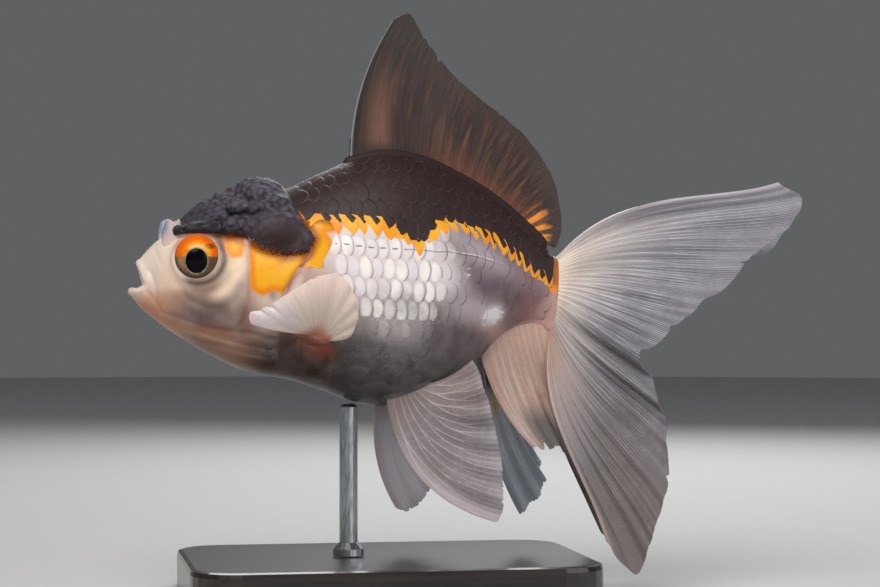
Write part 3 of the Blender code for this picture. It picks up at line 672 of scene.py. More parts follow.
def shape_hood(field, rng):
    """The soft hood: a thick cap over the crown and cheeks that swells into lobes."""
    cells, x, y, z = field.window((-54, -22, 68), (-12, 22, 100))
    depth = np.clip(outline_distance(x, z, HOOD) / 1.6, 0, 1)
    field.values[cells] -= hood_thickness(x, y) * np.sqrt(1 - (1 - depth) ** 2)
    for (cx, cy, cz), radii, blend, lean in HOOD_LOBES.values():
        for side in (LEFT, RIGHT):
            field.blob((cx, side * cy, cz), radii, blend, lean=lean)
    add_cobbles(field, rng)
    for side in (LEFT, RIGHT):
        field.crease(from_side(field, FURROW, side), 0.42, 0.5)
        field.crease(from_side(field, CHEEK_CREASE, side), 0.5, 0.5)


def add_cobbles(field, rng):
    """A tight cluster of low cobbles between the hood's larger lobes."""
    made = 0
    while made < HOOD_COBBLES:
        s = rng.uniform(7.5, 9.9)
        degrees = rng.uniform(-54, 54)
        foot = body_out(s, degrees, 0.0)
        if outline_distance(foot[0], foot[2], HOOD) < 1.8:
            continue
        radius = rng.uniform(0.9, 1.6)
        lift = hood_thickness(foot[0], foot[1]) + rng.uniform(-0.15, 0.20) - radius * 0.72
        squash = rng.uniform(0.8, 1.25)
        field.blob(body_out(s, degrees, lift), (radius * squash, radius, radius / squash), 0.3)
        made += 1


# Roots of the fins: stations of the two ends, and degrees from the back at them.
DORSAL_ROOT = ((12.0, 19.1), (0, 0))
PELVIC_ROOT = ((12.95, 14.2), (158, 156))
ANAL_ROOT_LEFT = ((16.45, 19.8), (166, 160))
ANAL_ROOT_RIGHT = ((16.45, 18.2), (166, 160))
PECTORAL_ROOT = ((10.35, 10.95), (118, 122))
CAUDAL_ROOT_Y = 1.5
RAY_JITTER = 0.05  # how unevenly the rays fork
RAY_TURN = 12.9898  # turns a ray's number into its share of the jitter
FORK_LENGTH = 0.32  # share of a ray over which a fork opens


def root_on_body(ends, side, lift):
    """Root line that follows the body; takes places 0..1 along it."""
    stations, degrees = ends

    def root(k):
        s = stations[0] + (stations[1] - stations[0]) * k
        angle = degrees[0] + (degrees[1] - degrees[0]) * k
        return body_out(s, side * angle, lift)

    return root


def shape_fin_seats(field):
    """Fleshy welts from which the fins grow."""

    def welt(ends, side, lift, radius, blend, count=14):
        line = root_on_body(ends, side, lift)(np.linspace(0, 1, count))
        field.tube(line, radius, blend)

    welt(DORSAL_ROOT, RIGHT, -0.1, 1.2, 1.8, 24)
    field.tube([(-7.5, 0, 94.0), (-7.5, 0, 97.0), (-7.35, 0, 99.3)], 0.36, 0.4)
    top = body(20.0, 0.35)[2]
    low = body(20.0, 2.75)[2]
    for side in (LEFT, RIGHT):
        welt(PELVIC_ROOT, side, -0.1, 0.95, 1.4)
        welt(ANAL_ROOT_LEFT if side == LEFT else ANAL_ROOT_RIGHT, side, -0.2, 0.65, 1.6)
        welt(PECTORAL_ROOT, side, 0.5, 1.0, 1.1)
        ends = [(37.4, side * 1.5, top), (37.2, side * 1.7, (top + low) / 2), (36.9, side * 1.5, low)]
        field.tube(ends, 1.35, 1.6)


def spaced(points, order, spacing):
    """Search tree of the points, taken in an order, that keep a distance from each other."""
    kept = []
    for k in order:
        if not kept or np.min(np.sum((np.array(kept) - points[k]) ** 2, axis=1)) >= spacing**2:
            kept.append(points[k])
    seeds = kdtree.KDTree(len(kept))
    for n, p in enumerate(kept):
        seeds.insert(Vector(p), n)
    seeds.balance()
    return seeds


def under_brow(x, z, blur):
    """How far a place lies below the furrow over the eye, from 0 to 1."""
    return smooth(blur, -blur, z - line_at(x, FURROW))


def ripple_hood(points, rng):
    """Height of the hood's small cobbles at each point."""
    depth = outline_distance(points[:, 0], points[:, 2], HOOD)
    chosen = np.flatnonzero(depth > 0.3)
    height = np.zeros(len(points))
    for spacing, amount in ((1.45, 0.30), (0.8, 0.14)):
        seeds = spaced(points, rng.permutation(chosen)[:9000], spacing)
        for k in chosen:
            p = Vector(points[k])
            p += 0.45 * noise.noise_vector(p * 0.7)
            (_, _, near), (_, _, far) = seeds.find_n(p, 2)
            cell = 1 - math.exp(-(far - near) / (0.28 * spacing))
            dome = 1 - (near / (0.8 * spacing)) ** 2
            height[k] += amount * (0.55 * cell + 0.6 * dome - 0.55)
    x, y, z = points[chosen].T
    cheek = np.exp(-(((x + 24.0) / 6.0) ** 2 + ((z - 77.8) / 4.3) ** 2)) * smooth(6.0, 9.0, np.abs(y))
    brow = under_brow(x, z, 0.3) * smooth(-36.0, -37.5, x)
    calm = (1 - 0.92 * cheek) * (1 - 0.55 * smooth(-36.0, -42.0, x)) * (1 - 0.85 * brow)
    height[chosen] *= smooth(0.3, 1.3, depth[chosen]) * calm
    return height


def make_skin(rng):
    field = body_field()
    shape_head(field)
    shape_hood(field, rng)
    shape_fin_seats(field)
    points, quads = field.surface()
    plain = mesh_piece("skin", points, quads)
    normals = np.empty(points.size, np.float32)
    plain.data.vertex_normals.foreach_get("vector", normals)
    bpy.data.objects.remove(plain, do_unlink=True)
    lump = ripple_hood(points, rng)
    points = points + normals.reshape(-1, 3) * lump[:, None]
    found = markings(points)
    x, y, z = points.T
    inside = np.linalg.norm(points - MOUTH, axis=1)
    # Painted shade on the hood: darker along the furrow over the eye, towards the hood's front and below the
    # brow.
    shade = 0.5 * bump(line_gap((x, z), FURROW), 0, 0.45) + 0.16 * smooth(-34.0, -40.0, x)
    shade += 0.22 * under_brow(x, z, 0.6) * smooth(-30.0, -34.0, x)
    values = {
        "black": found["black"],
        "orange": found["orange"],
        "hood": outline_distance(x, z, HOOD),
        "mouth": smooth(3.2, 1.9, inside),
        # Painted highlight on the tops of the hood's cobbles, less the painted shade.
        "lump": np.clip(0.42 + 2.4 * lump - shade, 0, 1),
        "cheek": bump(x, -24.5, 6.0) * bump(z, 77.0, 4.5) * smooth(6.0, 9.0, np.abs(y)),
    }
    return mesh_piece("skin", points, quads, values, {"ground": found["ground"]})


# Shaders ------------------------------------------------------------------------------


class Wire:
    """A value in a material's nodes; arithmetic on wires adds the nodes for it."""

    def __init__(self, shade, socket):
        self.shade = shade
        self.socket = socket

    def __add__(self, other):
        return self.shade.math("ADD", self, other)

    def __sub__(self, other):
        return self.shade.math("SUBTRACT", self, other)

    def __rsub__(self, other):
        return self.shade.math("SUBTRACT", other, self)

    def __mul__(self, other):
        return self.shade.math("MULTIPLY", self, other)

    def __truediv__(self, other):
        return self.shade.math("DIVIDE", self, other)

    def __abs__(self):
        return self.shade.math("ABSOLUTE", self)

    def span(self, low, high, to_low=0.0, to_high=1.0):
        """Smooth step of the value from low to high."""
        inputs = {"Value": self, "From Min": low, "From Max": high, "To Min": to_low, "To Max": to_high}
        return self.shade.node("MapRange", inputs, "Result", interpolation_type="SMOOTHSTEP")


class Shade:
    """A material being put together; colours in it are display values."""

    def __init__(self, name):
        self.material = bpy.data.materials.new(name)
        self.material.use_nodes = True
        self.nodes = self.material.node_tree.nodes
        self.links = self.material.node_tree.links
        self.shader = self.nodes["Principled BSDF"]

    def feed(self, socket, value):
        if isinstance(value, Wire):
            self.links.new(value.socket, socket)
        elif socket.type == "RGBA":
            socket.default_value = (*linear(value), 1)
        else:
            socket.default_value = value

    def node(self, kind, inputs=(), output=0, **settings):
        """Adds a node with its settings and inputs, and gives back one of its outputs."""
        node = self.nodes.new("ShaderNode" + kind)
        for key, value in settings.items():
            setattr(node, key, value)
        for key, value in dict(inputs).items():
            self.feed(node.inputs[key], value)
        return Wire(self, node.outputs[output])

    def finish(self, **inputs):
        """Sets the shader's own inputs; a name's underscores stand for spaces."""
        for key, value in inputs.items():
            self.feed(self.shader.inputs[key.replace("_", " ")], value)
        return self.material

    def math(self, operation, *values):
        return self.node("Math", enumerate(values), operation=operation)

    def value(self, name):
        return self.node("Attribute", output="Fac", attribute_name=name)

    def colour(self, name):
        return self.node("Attribute", output="Color", attribute_name=name)

    def laid(self, base, *layers):
        """A base colour with (factor, colour) layers laid over it in turn."""
        for factor, colour in layers:
            base = self.node("Mix", {"Factor": factor, 6: base, 7: colour}, 2, data_type="RGBA")
        return base

    def noise(self, feature, detail=2.0, stretch=(1.0, 1.0, 1.0)):
        """Noise with features about that many mm across."""
        place = self.node("TexCoord", output="Object")
        place = self.node("VectorMath", {0: place, 1: stretch}, operation="MULTIPLY")
        return self.node("TexNoise", {"Vector": place, "Scale": 1000 / feature, "Detail": detail}, "Fac")

    def bumped(self, height, depth):
        """Bends the normal by a height that spans that many mm."""
        inputs = {"Strength": 1.0, "Distance": depth * MM, "Height": height}
        self.feed(self.shader.inputs["Normal"], self.node("Bump", inputs, "Normal"))


BLACK = (46, 31, 31)
BLACK_WARM = (80, 50, 40)
BLACK_CREST = (114, 104, 114)
AMBER = (255, 184, 30)
AMBER_DEEP = (246, 140, 8)
AMBER_DARK = (150, 66, 16)
HOOD_DARK = (25, 19, 23)
HOOD_PALE_AND_HIGHLIGHT = (90, 85, 99)
HOOD_BROWN = (52, 32, 29)


def skin_shade():
    shade = Shade("skin")
    broad = shade.noise(5.0, 3.0)
    fine = shade.noise(0.9, 3.0)
    speck = shade.noise(0.35, 1.0)
    black = shade.value("black")
    orange = shade.value("orange")
    cheek = shade.value("cheek")
    # The amber darkens towards the black and the hood: painted shade, as under the hood's overhanging edge.
    amber = shade.laid(
        AMBER_DEEP,
        (broad.span(0.22, 0.52), AMBER),
        (orange.span(1.6, 0.2, 0.0, 0.8), AMBER_DEEP),
        (black.span(-2.5, -0.3, 0.0, 0.85), AMBER_DARK),
    )
    # The hood: painted highlight on the tops of its cobbles and painted shade in its furrows, from the lump
    # value, with pale mottling.
    hood = shade.laid(
        HOOD_DARK,
        (shade.value("lump"), HOOD_PALE_AND_HIGHLIGHT),
        (fine.span(0.45, 0.8, 0.0, 0.20), HOOD_PALE_AND_HIGHLIGHT),
        (cheek * 0.95, HOOD_BROWN),
    )
    # The hood's lower edge over the gill cover breaks up into specks.
    inside = ((speck - 0.44) * (cheek * 9.0 + 0.3) + black).span(-0.25, 0.25)
    base = shade.laid(
        shade.colour("ground"),
        (broad.span(0.35, 0.75, 0.0, 0.12), (253, 241, 236)),
        (fine.span(0.5, 0.8, 0.0, 0.10), (150, 120, 114)),
        ((orange + (broad - 0.5) * 1.6).span(-0.65, 0.15), amber),
        (inside, shade.laid(BLACK, (shade.value("hood").span(-0.4, 0.4), hood))),
        # Inside of the open mouth: red flesh, darkened further as painted shade in its hollow.
        (shade.value("mouth"), (96, 44, 40)),
    )
    shade.bumped(fine + speck * 0.6, 0.022)
    return shade.finish(
        Base_Color=base,
        Roughness=inside * 0.22 + 0.38,
        Specular_IOR_Level=0.32,
        Subsurface_Weight=0.12,
        Subsurface_Radius=(1.0, 0.45, 0.35),
        Subsurface_Scale=0.0016,
    )


def scale_shade():
    shade = Shade("scales")
    edge = shade.value("edge")
    tone = shade.value("tone")
    pearl = shade.value("pearl")
    fine = shade.noise(0.8, 3.0)
    broad = shade.noise(4.0, 3.0)
    speck = shade.noise(0.3, 1.0)
    drawn = shade.noise(2.4, 4.0, (0.7, 1.0, 2.6))
    # Fine bright lines that run from the middle of a scale to its rim.
    spokes = shade.math("SINE", shade.value("spoke") * 30.0 + fine * 9.0).span(0.6, 1.0)
    spokes = spokes * edge.span(0.3, 0.6) * shade.value("lines") * fine.span(0.40, 0.62)
    # Painted glints: bright streaks that cross the smooth rear flank.
    gleam = (shade.value("gleam") * 0.34 + drawn).span(0.82, 0.96)
    rim = edge.span(0.84, 1.0)
    # Painted highlight: a bright oval in the middle of each pearly scale, over its own pearly white.
    pearl_highlight = pearl * shade.value("oval").span(1.05, 0.55)
    pearl_highlight = pearl_highlight * broad.span(0.30, 0.60, 0.45, 1.0) * tone.span(0.0, 0.5, 0.65, 1.0)
    # Pores of the lateral line, and the thread behind them.
    level = shade.value("line_up") + (broad - 0.5) * 0.8
    pore = abs(level).span(0.20, 0.08) * shade.value("line_dark")
    thread = abs(level + 0.34).span(0.22, 0.08) * shade.value("line_light") * fine.span(0.42, 0.6)
    crest = edge.span(0.88, 0.99) * broad.span(0.30, 0.65, 0.05, 0.42)
    black = shade.laid(BLACK, (fine.span(0.50, 0.75, 0.0, 0.55), BLACK_WARM), (crest, BLACK_CREST))
    amber = shade.laid(AMBER_DEEP, (broad.span(0.3, 0.7), AMBER), (rim * 0.45, (255, 206, 130)))
    inside = (shade.value("black") + (speck - 0.5) * 0.5).span(-0.14, 0.14)
    base = shade.laid(
        shade.colour("ground"),
        (broad.span(0.35, 0.7, 0.0, 0.10), (216, 204, 208)),
        (spokes * 0.7, (239, 235, 237)),
        (gleam * 0.8, (243, 239, 241)),
        # Painted shade at each scale's rim, where it meets its neighbours, deepest on pearly scales.
        (rim * (pearl * 0.50 + 0.05), shade.laid((120, 104, 112), (pearl, (182, 168, 170)))),
        (pearl_highlight, shade.laid((240, 234, 238), (tone.span(0.2, 0.8), (255, 248, 244)))),
        (pore * 0.85, (74, 60, 68)),
        (thread * 0.6, (243, 241, 245)),
        ((shade.value("orange") + (speck - 0.5) * 0.7).span(-0.16, 0.16), amber),
        (inside, black),
    )
    shade.bumped(spokes * 0.6 + fine, 0.02)
    return shade.finish(Base_Color=base, Roughness=inside * 0.12 + 0.36, Specular_IOR_Level=0.3)


def fin_shade(name, forks, lines, strength, joints):
    """Sheet of a fin with its branching rays drawn over the membrane."""
    shade = Shade(name)
    across = shade.value("across")
    along = shade.value("along")
    which = shade.math("FLOOR", across)
    wobble = shade.math("SINE", which * RAY_TURN) * RAY_JITTER
    place = abs(across - which - 0.5)
    for level, fork in enumerate(forks):
        opening = along.span(wobble + fork, wobble + fork + FORK_LENGTH, 0.0, 0.25 / 2**level)
        place = abs(place - opening)
    width = along.span(0.0, 1.0, *lines)
    ray = 1.0 - (place * shade.value("pitch")).span(width * 0.2, width)
    fine = shade.noise(1.0, 3.0)
    broad = shade.noise(5.0, 3.0)
    beat = shade.math("FRACT", shade.value("reach") * 1.5)
    joint = abs(beat - 0.5).span(0.25, 0.45) * shade.value("jointed") * joints
    line = ray * broad.span(0.30, 0.62, 0.35, 1.0) * (1.0 - joint) * shade.value("drawn")
    vein = shade.colour("vein")
    layers = ((line * strength, vein), (fine.span(0.4, 0.8, 0.0, 0.18), vein))
    cover = shade.math("MINIMUM", shade.value("cover") + line * 0.15, 1.0)
    shade.bumped(line + fine * 0.4, 0.03)
    return shade.finish(Base_Color=shade.laid(shade.colour("ground"), *layers), Alpha=cover, Roughness=0.46)


def eye_shade():
    shade = Shade("eye")
    ahead = shade.value("ahead") - 0.3
    up = shade.value("up") - 0.3
    fine = shade.noise(0.5, 3.0)
    broad = shade.noise(1.8, 2.0)

    def oval(centre, radii):
        """Distance from a centre on the iris, 1 at the oval of those radii."""
        a = (ahead - centre[0]) / radii[0]
        b = (up - centre[1]) / radii[1]
        return shade.math("SQRT", a * a + b * b)

    whole = oval((0.0, 0.0), (4.55, 4.75))
    # Lower half: smoky, darkest in front and at the rim.
    low = shade.laid(
        (106, 82, 60),
        (ahead.span(-3.4, 3.4), (172, 130, 90)),
        (up.span(-1.5, -4.2, 0.0, 0.8), (106, 90, 80)),
        (whole.span(0.84, 1.0, 0.0, 0.85), (70, 52, 42)),
        (fine.span(0.45, 0.75, 0.0, 0.3), (90, 70, 56)),
    )
    # Upper half: bright amber with darker streaks.
    high = shade.laid(
        (255, 164, 30),
        (whole.span(0.50, 0.82), (240, 106, 16)),
        (fine.span(0.50, 0.72, 0.0, 0.55), (206, 104, 10)),
        (broad.span(0.55, 0.75, 0.0, 0.4), (176, 84, 8)),
        (oval((-2.6, 2.1), (1.7, 0.7)).span(1.1, 0.4, 0.0, 0.85), (116, 54, 6)),
        # Painted shadow of the skin along the rim of the iris's upper half.
        (whole.span(0.92, 1.0), (196, 84, 16)),
    )
    light = shade.laid((140, 122, 100), (fine.span(0.40, 0.60), (212, 196, 170)))
    # Over both halves: a painted highlight above the pupil, the rings, the pupil and the rim.
    base = shade.laid(
        low,
        ((up + (fine - 0.5) * 0.5).span(-0.25, 0.05), high),
        # Painted highlight: a pale cream patch above the pupil.
        (oval((-0.3, 1.9), (2.6, 0.9)).span(1.1, 0.3, 0.0, 0.5), (255, 214, 140)),
        (oval((0.26, -1.16), (2.62, 2.98)).span(1.08, 0.96, 0.0, 0.7), (122, 108, 94)),
        (oval((0.26, -1.08), (2.42, 2.78)).span(1.03, 0.99), light),
        (oval((0.26, -0.98), (2.32, 2.64)).span(1.04, 0.98), (60, 48, 40)),
        (oval((0.26, -0.94), (2.22, 2.54)).span(1.03, 0.99), (7, 7, 10)),
        (whole.span(0.99, 1.03), (110, 94, 88)),
    )
    return shade.finish(Base_Color=base, Roughness=0.16, Specular_IOR_Level=0.10)


def wood_shade():
    """Black lacquered wood of the stand's base."""
    shade = Shade("stand_wood")
    grain = shade.noise(1.4, 4.0, (0.06, 1.0, 1.0))
    base = shade.laid((22, 18, 17), (grain.span(0.35, 0.70), (46, 36, 31)))
    shade.bumped(grain, 0.03)
    return shade.finish(Base_Color=base, Roughness=0.30, Coat_Weight=0.5, Coat_Roughness=0.10)


def steel_shade():
    """Brushed steel of the stand's rod."""
    shade = Shade("stand_steel")
    brushed = shade.noise(0.35, 3.0, (1.0, 1.0, 0.12))
    base = shade.laid((150, 152, 156), (brushed.span(0.3, 0.7), (196, 198, 200)))
    shade.bumped(brushed, 0.01)
    return shade.finish(Base_Color=base, Metallic=1.0, Roughness=0.32)


# Scales -------------------------------------------------------------------------------
LATERAL_LINE = (
    (-24.0, 76.4), (-11.1, 75.9), (-5.0, 75.1), (0.8, 74.9), (11.7, 74.3), (18.8, 73.2),
    (23.6, 72.0), (30.9, 68.0), (38.0, 64.5),
)
COLUMN_PITCH = (2.62, 2.2)  # distance between scales of a row, at the shoulder and tail
ROW_PITCH = ((8.0, 4.1), (11.0, 4.5), (14.0, 4.6), (16.0, 4.2), (18.0, 3.4), (20.0, 2.7))
LATTICE_START = 8.0  # station of the first column
LATTICE_GRID = (241, 721)  # stations and angles at which the body is measured
ROWS_UP = 9
ROWS_DOWN = 11
SCALE_REAR = 1.55  # rear half-length in column pitches
SCALE_FRONT = 0.5
SCALE_HALF = 0.76  # half-height in row pitches
FOCUS = 0.30  # place of the middle of the scale's rings, in column pitches
BARE = 0.98  # place of the middle of the scale's bare part, in column pitches
RINGS = 8
SPOKES = 24
SCALE_THICK = 0.12
TOOTH = 0.9  # how far the black and amber borders run down the middle of a scale
BAKE_PATCH = 0.0015  # size of a scale's patch of the bake map
SCALES_END = 37.2  # x behind which no scale reaches
ARC_STEP = 0.25  # spacing, in mm round the body, of the lattice's table


class Lattice:
    """Rows of scales counted from the lateral line, and columns along it."""

    def __init__(self):
        self.s = np.linspace(LATTICE_START, LAST_STATION, LATTICE_GRID[0])
        self.arcs = np.arange(-56.0, 72.0, ARC_STEP)
        angle = np.linspace(-0.5, math.pi + 0.5, LATTICE_GRID[1])
        points = body(self.s[:, None], angle)
        ways = np.cumsum(distances(points, 1), axis=1)
        ways = np.insert(ways, 0, 0, axis=1)
        above = points[..., 2] - line_at(points[..., 0], LATERAL_LINE)
        above[:, angle < 0.3] = 1.0
        self.table = np.empty((len(self.s), len(self.arcs)))
        for way, height, angles in zip(ways, above, self.table):
            # The line falls between two angles, by its height at both.
            after = np.argmax(height < 0)
            both = [after, after - 1]
            zero = np.interp(0, height[both], way[both])
            angles[:] = np.interp(self.arcs, way - zero, angle)
        line = body(self.s, self.table[:, np.searchsorted(self.arcs, 0)])
        middle = (self.s[1:] + self.s[:-1]) / 2
        columns = np.cumsum(distances(line, 0) / self.column_pitch(middle))
        self.count = np.insert(columns, 0, 0)

    def column_pitch(self, s):
        return COLUMN_PITCH[0] + (COLUMN_PITCH[1] - COLUMN_PITCH[0]) * smooth(12.0, 20.0, s)

    def row_pitch(self, s):
        return line_at(s, ROW_PITCH)

    def station(self, column):
        return np.interp(column, self.count, self.s)

    def row_arc(self, row, s):
        return self.row_pitch(s) * row * (1 - 0.013 * np.abs(row))

    def angle_at(self, s, arc):
        a = np.clip((s - self.s[0]) / (self.s[1] - self.s[0]), 0, len(self.s) - 1.001)
        b = np.clip((arc - self.arcs[0]) / ARC_STEP, 0, len(self.arcs) - 1.001)
        return table_value(self.table, a, b)

    def place(self, row, column, along, across):
        """Station and angle of a point given in mm from a scale's centre."""
        s0 = self.station(column)
        s = self.station(column + along / self.column_pitch(s0))
        arc = self.row_arc(row, s) + across * self.row_pitch(s) / self.row_pitch(s0)
        return s, self.angle_at(s, arc)


def scale_template():
    """Share of the way to the rim, angle round the scale, and whether underneath."""
    levels = np.append(np.arange(1, RINGS + 1) / RINGS, 1.0)
    ring = np.append(np.repeat(levels, SPOKES), (0.0, 0.0))
    turn = np.append(np.tile(np.linspace(0, 2 * math.pi, SPOKES, endpoint=False), RINGS + 1), (0.0, 0.0))
    under = np.arange(len(ring)) >= RINGS * SPOKES
    under[-2] = False
    return ring, turn, under


def keep_scale(lattice, side, row, column):
    """Whether a scale is wanted, from where its bare part and its tip lie."""
    pitch = lattice.column_pitch(lattice.station(column))
    s, angle = lattice.place(row, column, BARE * pitch, 0.0)
    x, _, z = body(s, side * angle)
    s, angle = lattice.place(row, column, SCALE_REAR * pitch, 0.0)
    tip = body(s, side * angle)
    if tip[0] < gill_edge(tip[2]) + 1.0 or tip[0] > SCALES_END:
        return False
    if outline_distance(x, z, HOOD) > -0.6 or outline_distance(x, z, SHOULDER_PATCH) > -0.5:
        return False
    seat = body_out(10.6, side * 120, 0.0)
    return math.hypot((x - seat[0]) / 4.4, (z - seat[2]) / 3.2) > 1


def choose_scales(side, lattice):
    """Row and column of each scale of one side."""
    chosen = []
    for row in range(-ROWS_UP, ROWS_DOWN + 1):
        for column in np.arange(0.5 * (row % 2), lattice.count[-1] - 1.0, 1.0):
            s = lattice.station(column)
            centre = lattice.angle_at(s, lattice.row_arc(row, s))
            slack = 0.2 * lattice.row_pitch(s) / 12.0
            if -slack < centre < math.pi + slack and keep_scale(lattice, side, row, column):
                chosen.append((row, column))
    return np.array(chosen, float)


class Coat:
    """The scales of one side; most arrays hold a row for each scale, a column for each point."""

    def __init__(self, side, lattice, rng):
        self.side = side
        self.lattice = lattice
        self.row, self.column = choose_scales(side, lattice).T[:, :, None]
        self.ring, self.turn, self.under = scale_template()
        self.s0 = lattice.station(self.column)
        self.pitch = lattice.column_pitch(self.s0)
        self.tall = lattice.row_pitch(self.s0) * SCALE_HALF
        self.trace(rng)
        s, angle = lattice.place(self.row, self.column, BARE * self.pitch, 0.0)
        self.spot = body(s, side * angle)[:, 0]
        self.found = {key: value[:, None] for key, value in markings(self.spot).items()}
        self.tone = rng.random(self.s0.shape)
        self.pearl = smooth(-4.0, 3.0, self.found["pearl"] + 1.6 * (self.tone - 0.5))

    def trace(self, rng):
        """Places of the points: u along, in column pitches, and v across, in half-heights."""
        size = 1 + 0.12 * (rng.random(self.s0.shape) - 0.5)
        # A shallow wave in the rim keeps scales from being perfect ovals.
        wave = 1 + 0.045 * np.sin(3 * self.turn + 2 * math.pi * rng.random(self.s0.shape))
        reach = np.where(np.cos(self.turn) > 0, SCALE_REAR, SCALE_FRONT) * size * wave
        self.u = FOCUS + self.ring * (np.cos(self.turn) * reach - FOCUS)
        self.v = self.ring * np.sin(self.turn) * size * wave

    def points(self, rng):
        """Points of the scales, which stand out from the skin."""
        # Pearly scales stand up most, those of the rump and belly least.
        slope = 0.009 + 0.017 * self.pearl + 0.019 * smooth(-1.0, 1.0, self.found["black"])
        slope = slope - 0.004 * smooth(60.0, 53.0, self.spot[:, 2:])
        height = slope * (self.u - SCALE_REAR) * self.pitch - (0.05 + 0.05 * self.pearl) * self.v**2
        height += (0.03 * self.pearl + 0.02) * (1 - smooth(0.62, 1.0, self.ring)) - 0.02
        height += 0.03 * (rng.random(self.s0.shape) - 0.5) - self.under * SCALE_THICK
        s, angle = self.lattice.place(self.row, self.column, self.u * self.pitch, self.v * self.tall)
        angle = self.side * angle
        return body(s, angle) + body_normal(s, angle) * height[..., None]

    def line_values(self, x):
        """Height over the lateral line, and where its pores and its pale thread show."""
        on_line = (self.row == 0) * (x > -13.0)
        dash = smooth(0.66, 0.74, self.u) * smooth(1.20, 1.10, self.u)
        return {
            "line_up": self.v * self.tall,
            "line_dark": on_line * np.where(x < 2.0, dash, 0.6 * smooth(25.0, 18.0, x)),
            "line_light": on_line * smooth(2.0, 5.0, x) * smooth(27.0, 20.0, x),
        }

    def values(self, points, local, rng):
        """What the material reads at each point."""
        x, _, z = np.moveaxis(points, -1, 0)
        # Both borders run down in a point along the middle of each scale.
        tooth = (1 - 2.6 * np.abs(self.u - BARE)) * (1 + 0.5 * (rng.random(self.s0.shape) - 0.5))
        tooth = TOOTH * np.maximum(tooth, -0.9)
        lined = np.maximum(bump(z, 60.5, 4.0), 0.35 * bump(z, 53.0, 6.0))
        # Painted glints: bright streaks over the rear flank, and a bright spot above the vent.
        flank = 0.75 * bump(x, 17.0, 7.0) * bump(z, 70.5, 5.0)
        vent = 1.5 * bump(x, 22.4, 3.8) * bump(z, 60.7, 2.7)
        values = {
            "edge": self.ring,
            "spoke": np.abs(self.turn - math.pi),
            "pearl": self.pearl,
            "tone": self.tone,
            "oval": np.hypot((self.u - BARE + 0.04) / 0.56, self.v / 0.88),
            "lines": lined * bump(x, 0.0, 12.0) * (z < 70),
            "gleam": np.maximum(flank, vent),
            "black": 0.12 * self.found["black"] + 0.88 * local["black"] + 1.25 * tooth,
            "orange": 0.20 * self.found["band"] + 0.80 * local["band"] + 1.1 * tooth,
        }
        values.update(self.line_values(x))
        return {key: np.broadcast_to(value, x.shape) for key, value in values.items()}

    def bake_places(self):
        """A small patch of the bake map for each scale, laid out as on the body."""
        angle = self.lattice.angle_at(self.s0, self.lattice.row_arc(self.row, self.s0))
        u = 0.1 + 0.8 * self.s0 / LAST_STATION + BAKE_PATCH * self.u / SCALE_REAR
        v = 0.5 + self.side * (0.03 + 0.43 * angle / math.pi) + BAKE_PATCH * self.v
        return np.stack([u, v], axis=-1).reshape(-1, 2)


def make_scales(side, word, lattice, rng, shade):
    coat = Coat(side, lattice, rng)
    points = coat.points(rng)
    shape = points.shape[:2]
    found = markings(points.reshape(-1, 3))
    ground = found.pop("ground")
    local = {key: value.reshape(shape) for key, value in found.items()}
    values = coat.values(points, local, rng)
    triangles = ring_triangles(RINGS + 1, SPOKES, side == RIGHT)
    faces = triangles + shape[1] * np.arange(shape[0])[:, None, None]
    piece = mesh_piece(
        "scales_" + word, points.reshape(-1, 3), faces.reshape(-1, 3), values, {"ground": ground}
    )
    bake_map(piece, coat.bake_places())
    dress(piece, shade, "skin")


# Eyes ---------------------------------------------------------------------------------


def make_eye(side, word, shade):
    """Domed eyeball whose front carries the iris."""
    rings, sectors = EYE_GRID
    b = np.linspace(0, math.pi, rings + 2)[1:-1, None]
    a = np.linspace(0, 2 * math.pi, sectors, endpoint=False)
    ball = np.broadcast_arrays(np.sin(b) * np.cos(a), np.cos(b), np.sin(b) * np.sin(a))
    ball = np.concatenate([np.stack(ball, axis=-1).reshape(-1, 3), [(0, 1, 0), (0, -1, 0)]])
    ball = ball * (EYE_RADIUS, EYE_DEPTH, EYE_RADIUS)
    points = (ball + EYE_CENTRE) * (1, side, 1)
    values = {"ahead": -ball[:, 0], "up": ball[:, 2]}
    eye = mesh_piece("eyeball_" + word, points, ring_triangles(rings, sectors, side == LEFT), values)
    bake_map(eye, 0.5 + 0.09 * ball[:, [0, 2]])
    dress(eye, shade, "eye", "eye_" + word)


# Fins ---------------------------------------------------------------------------------
# Rays: direction in degrees up from straight back, length, sideways bend of the ray in
# the fin's plane, and how far its tip stands out from the fish's mid-plane.
DORSAL = {
    "front": (73, 32.3, 2.4, 0.0),
    "crest": (77, 31.7, 3.0, 0.0),
    "notch": (78, 25.1, 2.0, 0.0),
    "third": (77, 20.6, 1.0, 0.0),
    "fourth": (73, 18.0, 0.5, 0.0),
    "fifth": (66, 16.5, 0.2, 0.0),
    "sixth": (56, 14.7, 0.0, 0.0),
    "seventh": (43, 12.2, 0.0, 0.0),
    "eighth": (27, 8.4, -0.3, 0.0),
    "rear": (-25, 3.4, 0.0, 0.0),
}
CAUDAL = {
    "upper_edge": (20, 51.5, 5.2, 9.0),
    "upper_tip": (15, 56.1, 3.8, 9.0),
    "upper_corner": (10, 52.5, 3.0, 10.0),
    "hem_fold": (6, 43.5, 2.3, 12.0),
    "hem_flap": (-1, 37.6, 1.5, 13.0),
    "hem": (-9, 30.4, 1.0, 14.0),
    "inner_hem": (-25, 24.4, 0.6, 15.0),
    "fork": (-38, 21.4, 0.0, 16.0),
    "lower_hem": (-45, 28.4, -0.9, 17.0),
    "lower_swell": (-53, 35.8, -2.0, 18.0),
    "lower_wave": (-58, 41.4, -2.8, 19.0),
    "lower_back": (-66, 47.4, -3.5, 20.0),
    "lower_tip": (-75, 54.6, -3.6, 21.0),
    "lower_edge": (-79, 45.5, -4.1, 20.0),
}
